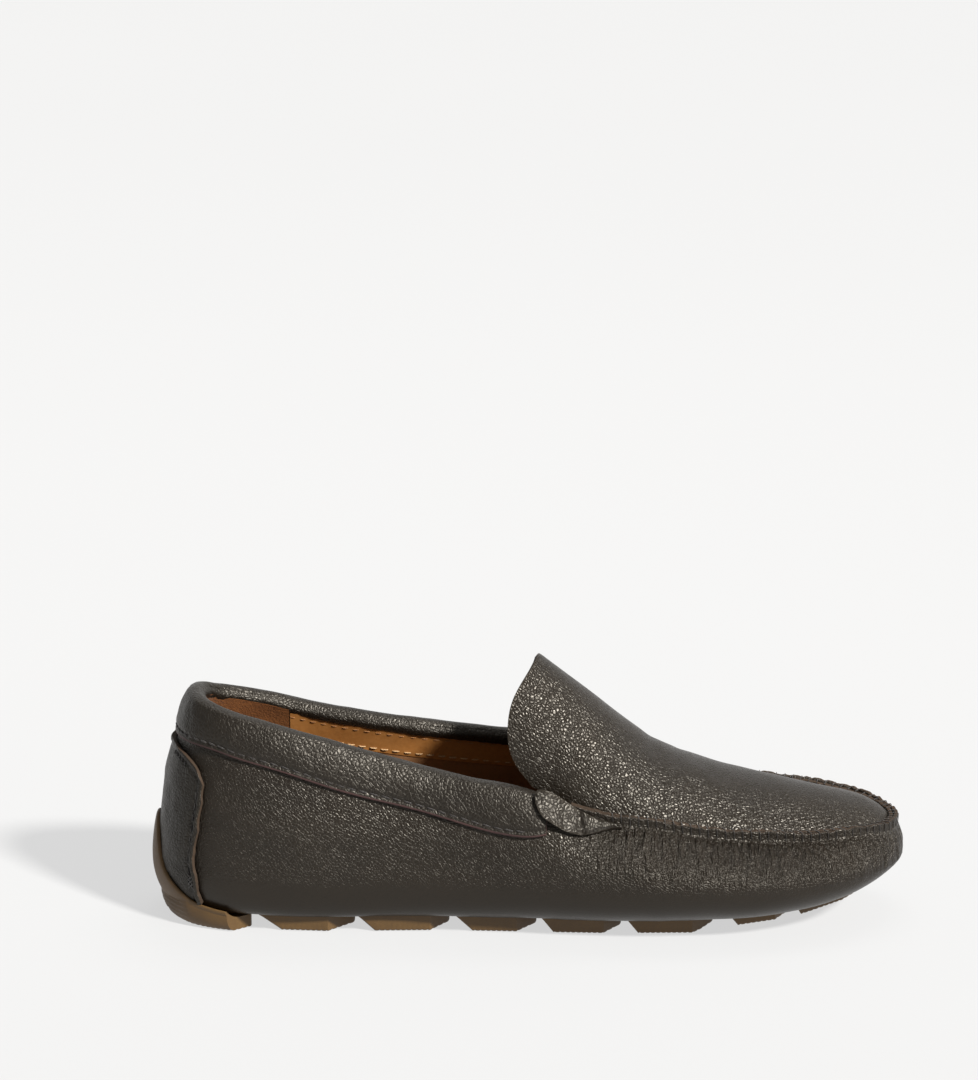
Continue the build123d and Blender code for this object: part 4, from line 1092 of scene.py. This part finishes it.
def make_guard_mesh():
    """The heel rubber: up the back as a guard, serrated where it turns under, down to the tread."""
    gap = -PATCH_LEATHER - PATCH_GAP - GLUE_GAP
    rings = []
    for t in np.linspace(T_HEEL - GUARD_HALF_ARC, T_HEEL + GUARD_HALF_ARC, 190):
        arc = abs(t - T_HEEL)
        top = guard_top(arc) + 0.25 * noise_a(t / 6.0, 3.0)
        inner = [wall(t, z, gap) for z in np.linspace(top, BULGE_Z, 5)[:-1]] if top > BULGE_Z else []
        first = rounding_angle(t, min(top, BULGE_Z))
        angles = np.linspace(first, np.pi / 2, GUARD_INNER_POINTS - len(inner))
        inner += [rounded(t, angle, gap) for angle in angles]
        turn_z = min(TREAD_ROUND_Z, top - 1.0)
        upper = []
        for z in top - (top - turn_z) * np.concatenate([[0, 0.012, 0.03, 0.06], np.linspace(0.1, 1, 22)]):
            fill = min(1.0, (top - z) / GUARD_FILL_DROP) ** 0.5
            lip = 0.35 * math.sin(min(1.0, (top - z) / 1.2) * math.pi / 2) - 0.35
            upper.append(wall(t, z, gap - GUARD_EDGE - (GUARD_RUBBER - GUARD_EDGE) * fill - lip * 0.8))
        point, inward = frame_at(t)
        turn_inset = np.dot(upper[-1][:2] - point, inward)
        lower, floor = [], []
        for share in np.linspace(0.96, 0.0, 40):
            out = math.sqrt(1 - (1 - share) ** 2)
            z = share * upper[-1][2]
            tooth = TOOTH_DEPTH * ease(np.mod((z - 2.4 * out) / TOOTH_PITCH, 1.0), 0.15, 0.95)
            tooth *= ease(z, 0.2, 1.0)
            tooth *= (1 - ease(arc, 15.0, 27.0)) * ease(11.5 - z, 0.0, 1.5)
            spot = place(t, TREAD_EDGE_INSET - (TREAD_EDGE_INSET - turn_inset) * out + tooth, z)
            spot[2] += rib(spot[0]) * math.exp(-z / 0.7)
            lower.append(spot)
        for inset in np.linspace(TREAD_EDGE_INSET + 0.4, TREAD_RING_INSET, 12):
            spot = place(t, inset, 0.0)
            spot[2] = rib(spot[0])
            floor.append(spot)
        rings.append(upper + lower + floor + [place(t, TREAD_RING_INSET, inner[-1][2])] + inner[::-1])
    return ring_part(np.swapaxes(rings, 0, 1))


def make_heel_fill_mesh():
    x = np.arange(HEEL_FILL_BACK_X, HEEL_BLOCK_FRONT_X + 0.01, 0.25)
    low, high = strip_sides(x, lambda t: TREAD_RING_INSET - 2.0 + 0 * t)
    ease_in = np.clip((x[0] + 1.5 - x) / 1.5, 0, 1)
    across = np.linspace(-1, 1, 21)
    middle, half = (low + high) / 2, (high - low) / 2 - 0.4 * ease_in
    y = middle[:, None] + half[:, None] * across
    xs = np.broadcast_to(x[:, None], y.shape)
    under = np.stack([xs, y, rib(xs) + 0.02], axis=-1)
    over = np.stack([xs, y, bottom_z(xs) + 0.1], axis=-1)
    return sheet_part(under, over)


def cut_toe_corners(part):
    """The heel rubber with both corners of its toe side cut off upright and the cuts closed."""
    vertices, faces = part[:2]
    work = bmesh.new()
    added = [work.verts.new(point) for point in vertices]
    for face in faces:
        work.faces.new([added[i] for i in face])
    for side in (-1, 1):
        corner = Vector((HEEL_BLOCK_FRONT_X - HEEL_CORNER[0], side * HEEL_CORNER[1], 0.0))
        outward = Vector((HEEL_CORNER[2], side * HEEL_CORNER[0], 0.0)).normalized()
        geometry = work.verts[:] + work.edges[:] + work.faces[:]
        cut = bmesh.ops.bisect_plane(work, geom=geometry, plane_co=corner, plane_no=outward, clear_outer=True)
        rim = [item for item in cut["geom_cut"] if isinstance(item, bmesh.types.BMEdge)]
        bmesh.ops.holes_fill(work, edges=rim)
    work.verts.index_update()
    points = np.array([vertex.co[:] for vertex in work.verts])
    kept = [[vertex.index for vertex in face.verts] for face in work.faces]
    work.free()
    return points, kept, [0] * len(kept), np.zeros(len(points))


# ---------------------------------------------------------------- threads
THREAD_SUNK = 0.25
ROW_END_GAP = 4.0
TOPLINE_ROW_DROP = 0.9             # below the roll
LINING_ROW_UP = 1.6                # above the collar lining's lower edge
PATCH_ROW_INSET = 2.6
PATCH_STITCH = 2.7


def running_stitches(start, end, offset, z, depth_at, length, lift, outward=-1.0, radius=0.30):
    """A row of lying stitches that rise out of the leather and sink back: depth grows inwards."""
    share = np.linspace(-1, 1, 9)
    paths = []
    for t in np.arange(math.ceil(start / STITCH_PITCH) * STITCH_PITCH, end, STITCH_PITCH) + offset:
        slope = z(t + 0.5) - z(t - 0.5)
        heights = z(t) + slope * share * length / 2 + 0.12 * share
        arc = lift * (1 - share ** 4) - THREAD_SUNK
        paths.append(wall(t + share * length / 2, heights, depth_at(t) + outward * arc))
    return thread_part(paths, radius)


def make_seam_threads():
    """Overcast thread over both margins of the plug seam, one stitch in each gather's valley."""
    start, end = seam_length(t_at(RIDGE_FULL_X + 1, False)), seam_length(t_at(RIDGE_FULL_X + 1, True))
    first, last = math.ceil(start / SEAM_PITCH) + 0.5, math.floor(end / SEAM_PITCH)
    lengths = np.arange(first, last, 1.0) * SEAM_PITCH
    ts = np.interp(lengths, _seam_length, _seam_t)
    paths = []
    shape = [(0.02, -3.4), (-0.04, -2.4), (-0.08, -1.2), (-0.08, -0.3), (0.2, 0.18), (1.0, 0.24), (1.9, 0.16),
             (2.9, 0.16), (3.50, 0.0), (3.74, -0.5), (3.78, -1.5), (3.70, -2.4)]
    for k, t in enumerate(ts):
        lean = 0.9 + 0.35 * noise_a(k / 1.7, 5.0)
        tip_here = wall(t, wrap_top(t), 0.0)[2] + ridge_rise(x_of(t))
        inset = ridge_inset(t)
        paths.append([place(t + lean * (i / (len(shape) - 1) - 0.5), inset + across, tip_here + up - 0.12)
                      for i, (across, up) in enumerate(shape)])
    return thread_part(paths, 0.17)


def make_collar_seam_threads():
    start, end = both_at(COLLAR_END_X)
    depth = -(COLLAR_LEATHER + 2 * GLUE_GAP + 0.15)
    return running_stitches(start + ROW_END_GAP, end - ROW_END_GAP, STITCH_PITCH / 2,
                            lambda t: collar_seam_z(x_of(t)) + COLLAR_ROW_UP, lambda t: depth, 2.9, 0.30)


def make_topline_threads():
    return running_stitches(*both_at(FOAM_FRONT_X), STITCH_PITCH / 2,
                            lambda t: reference_top(t) - ROLL_HEIGHT - TOPLINE_ROW_DROP,
                            lambda t: lining_depth(x_of(t)) + LINING + 0.10, 2.2, 0.26, 1.0, radius=0.12)


def make_lining_threads(lateral):
    start, end = lining_span(lateral)
    return running_stitches(start + ROW_END_GAP, end - ROW_END_GAP, 0.0,
                            lambda t: lining_strip_low(t) + LINING_ROW_UP,
                            lambda t: lining_depth(x_of(t)) + LINING + 0.18, 2.6, 0.34, 1.0)


def make_patch_threads():
    """Upright rows beside the patch's sides, a zigzag at the top corners and crossed bars at the bottom."""
    paths = []
    share = np.linspace(-1, 1, 9)
    stand = PATCH_GAP + PATCH_LEATHER

    def add(t0, z0, t1, z1, lift=0.30):
        t = (t0 + t1) / 2 + (t1 - t0) / 2 * share
        z = (z0 + z1) / 2 + (z1 - z0) / 2 * share
        paths.append(wall(t, z, -(stand - THREAD_SUNK + (lift + 0.05) * (1 - share ** 4))))

    for side in (-1, 1):
        for z in np.arange(22.0, 55.0, STITCH_PITCH):
            edge = T_HEEL + side * (patch_half(z) - PATCH_ROW_INSET)
            edge_up = T_HEEL + side * (patch_half(z + PATCH_STITCH) - PATCH_ROW_INSET)
            add(edge, z, edge_up, z + PATCH_STITCH, 0.12)
        for k in range(3):
            low_z, step = 18.0 + 1.5 * k, 1.6
            centre = T_HEEL + side * (patch_half(19.0) - 2.2)
            add(centre - step, low_z - 1.4, centre + step, low_z + 1.4, 0.5)
            add(centre - step, low_z + 1.4, centre + step, low_z - 1.4, 0.62)
        for k in range(5):
            arc = 13.0 + 2.3 * k
            here = T_HEEL + side * arc
            z = patch_top(arc) - 2.0
            add(here, z - 1.3, here + side * 0.9, z + 1.3, 0.4)
    return thread_part(paths, 0.28)


# ---------------------------------------------------------------- the pieces
wrap_skin, wrap_zone = make_wrap_mesh()
make_piece("wrap_gathered", [wrap_skin, make_plate_mesh()], [WRAP_LEATHER, RAW_EDGE], ["wrap"],
           70, wrap_zone)
make_piece("plug_and_tongue", [make_plug_mesh(), make_plug_margin()], [PLUG_LEATHER, RAW_EDGE], ["apron"],
           70)
padded_collar = make_piece("padded_collar", [make_collar_mesh()], [COLLAR_SKIN, FOLD_EDGE], ["collar_band"],
                           70)
make_piece("topline_roll", [make_binding_mesh()], [COLLAR_SKIN], ["topline_binding"], 70)
make_piece("heel_patch_skin", [make_patch_mesh()], [PATCH_SKIN, RAW_EDGE], ["heel_patch"],
           60)

SIDES = (("lateral", True), ("medial", False))
for side_name, is_lateral in SIDES:
    make_piece(f"tab_{side_name}", [make_tab_mesh(is_lateral)], [COLLAR_SKIN], [f"apron_tab_{side_name}"],
               60)
heel_grip_skin = lining_mesh(*both_at(HEEL_GRIP_FRONT_X), lining_low, lining_high, 0.35)
make_piece("heel_grip_suede", [heel_grip_skin], [SUEDE], ["heel_grip"])
for side_name, is_lateral in SIDES:
    span = lining_span(is_lateral)
    make_piece(f"quarter_lining_{side_name}_skin", [lining_mesh(*span, lining_low, lining_strip_low, -0.15)],
               [TAN_ROUGH], [f"quarter_lining_{side_name}"])
    make_piece(f"collar_lining_{side_name}_skin", [lining_mesh(*span, lining_strip_low, lining_high, 0.1)],
               [TAN_SMOOTH], [f"collar_lining_{side_name}"])
make_piece("tongue_lining", [make_plug_lining_mesh()], [TAN_SMOOTH], ["apron_lining"])
make_piece("sock_skin", [make_sock_mesh()], [SOCK], ["sock_leather"])

make_piece("tread_blocks", [make_block_mesh(*block) for block in BLOCKS], [RUBBER], ["front_sole_unit"],
           40)
make_piece("heel_guard_rubber", [cut_toe_corners(make_guard_mesh()), make_heel_fill_mesh()], [RUBBER],
           ["heel_sole_unit"], 40)

for thread_name, threads, thread, node, slot in (
        ("seam_threads", [make_seam_threads()], DARK_THREAD, "plug_seam_stitches", "dark_thread"),
        ("collar_seam_threads", [make_collar_seam_threads()], DARK_THREAD, "collar_seam_stitches",
         "dark_thread"),
        ("topline_threads", [make_topline_threads()], LINING_THREAD, "topline_stitches", "dark_thread"),
        ("patch_threads", [make_patch_threads()], DARK_THREAD, "heel_patch_stitches", "dark_thread"),
        ("lining_threads", [make_lining_threads(True), make_lining_threads(False)], TAN_THREAD,
         "lining_stitches", "tan_thread")):
    make_piece(thread_name, threads, [thread], [node], 80)

for node, item in (("vamp_lining", TAN_ROUGH), ("collar_foam", FOAM), ("heel_counter", BOARD),
                   ("insole_board", BOARD), ("footbed_foam", FOAM), ("heel_cushion", FOAM)):
    for material_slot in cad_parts[node].material_slots:
        material_slot.material = item

# ---------------------------------------------------------------- floor, light and camera
FLOOR_GLOW = 0.61
FLOOR_TONES = (0.150, 0.150, 0.150, 1), (0.140, 0.140, 0.140, 1)
KEY_STRENGTH = 8.0
KEY_ANGLE = math.radians(7.0)
KEY_DIRECTION = Vector((-0.57, 0.55, -0.61))
SKY_STRENGTH = 0.30
TOP_POWER = 5.0
TOP_PLACE, TOP_AIM = Vector((0.2, 0.5, 1.3)), Vector((0.0, 0.0, 0.05))
floor_material, floor_tree, floor_shader, floor_vector = start_material("pale_floor", 0.95, 0.0)
floor_tone = fractal(floor_tree, floor_vector, 1.2, 2.0)
feed(floor_tree, floor_shader.inputs["Base Color"], mix_color(floor_tree, floor_tone, *FLOOR_TONES))
floor_shader.inputs["Emission Color"].default_value = (1.0, 1.0, 1.0, 1.0)
floor_shader.inputs["Emission Strength"].default_value = FLOOR_GLOW
SWEEP_START_Y, SWEEP_RADIUS = 5.0, 2.0
sweep = [(-8.0, 0.0), (SWEEP_START_Y, 0.0)]
sweep += [(SWEEP_START_Y + SWEEP_RADIUS * math.sin(a), SWEEP_RADIUS - SWEEP_RADIUS * math.cos(a))
          for a in np.linspace(0, math.pi / 2, 12)[1:]]
sweep.append((SWEEP_START_Y + SWEEP_RADIUS, 6.0))
floor_mesh = bpy.data.meshes.new("studio_floor")
floor_mesh.from_pydata([(side * 12.0, y, z - 0.0002) for y, z in sweep for side in (-1, 1)], [],
                       [(2 * i, 2 * i + 1, 2 * i + 3, 2 * i + 2) for i in range(len(sweep) - 1)])
floor_mesh.materials.append(floor_material)
floor_mesh.shade_smooth()
studio_floor = add_object("studio_floor", floor_mesh)

world = bpy.data.worlds.new("soft_studio")
world.use_nodes = True
sky = world.node_tree.nodes["Background"]
sky.inputs["Color"].default_value = (1.0, 0.995, 0.985, 1.0)
sky.inputs["Strength"].default_value = SKY_STRENGTH
bpy.context.scene.world = world


def add_light(name, kind, power, direction):
    light = bpy.data.lights.new(name, kind)
    light.energy = power
    lamp = add_object(name, light)
    lamp.rotation_euler = direction.to_track_quat("-Z", "Y").to_euler()
    return lamp


key = add_light("key_sun", "SUN", KEY_STRENGTH, KEY_DIRECTION).data
key.angle = KEY_ANGLE
key.color = (1.0, 0.985, 0.955)
top_lamp = add_light("top_light", "AREA", TOP_POWER, TOP_AIM - TOP_PLACE)
top_lamp.location = TOP_PLACE
top_lamp.data.shape = "RECTANGLE"
top_lamp.data.size, top_lamp.data.size_y = 0.9, 0.5

CAMERA_ELEVATION = math.radians(19.0)
CAMERA_DISTANCE = 1.8
SENSOR_WIDTH = 36.0
VIEW_HEIGHT = 0.4104            # what the picture's height covers at the shoe's near side
AIM = Vector((-14.8 * MM, 0.0, 0.040))
AIM_DROP = 0.24703704           # that point shows this far below the middle, in picture heights
camera_data = bpy.data.cameras.new("camera")
camera_data.sensor_width = SENSOR_WIDTH
camera_data.lens = CAMERA_DISTANCE / VIEW_HEIGHT * SENSOR_WIDTH
camera_data.shift_y = AIM_DROP
camera_data.clip_end = 60.0
camera = add_object("camera", camera_data)
direction = Vector((0.0, -math.cos(CAMERA_ELEVATION), math.sin(CAMERA_ELEVATION)))
camera.location = AIM + direction * CAMERA_DISTANCE
camera.rotation_euler = (-direction).to_track_quat("-Z", "Y").to_euler()
bpy.context.scene.camera = camera
bpy.context.scene.view_settings.view_transform = "Standard"
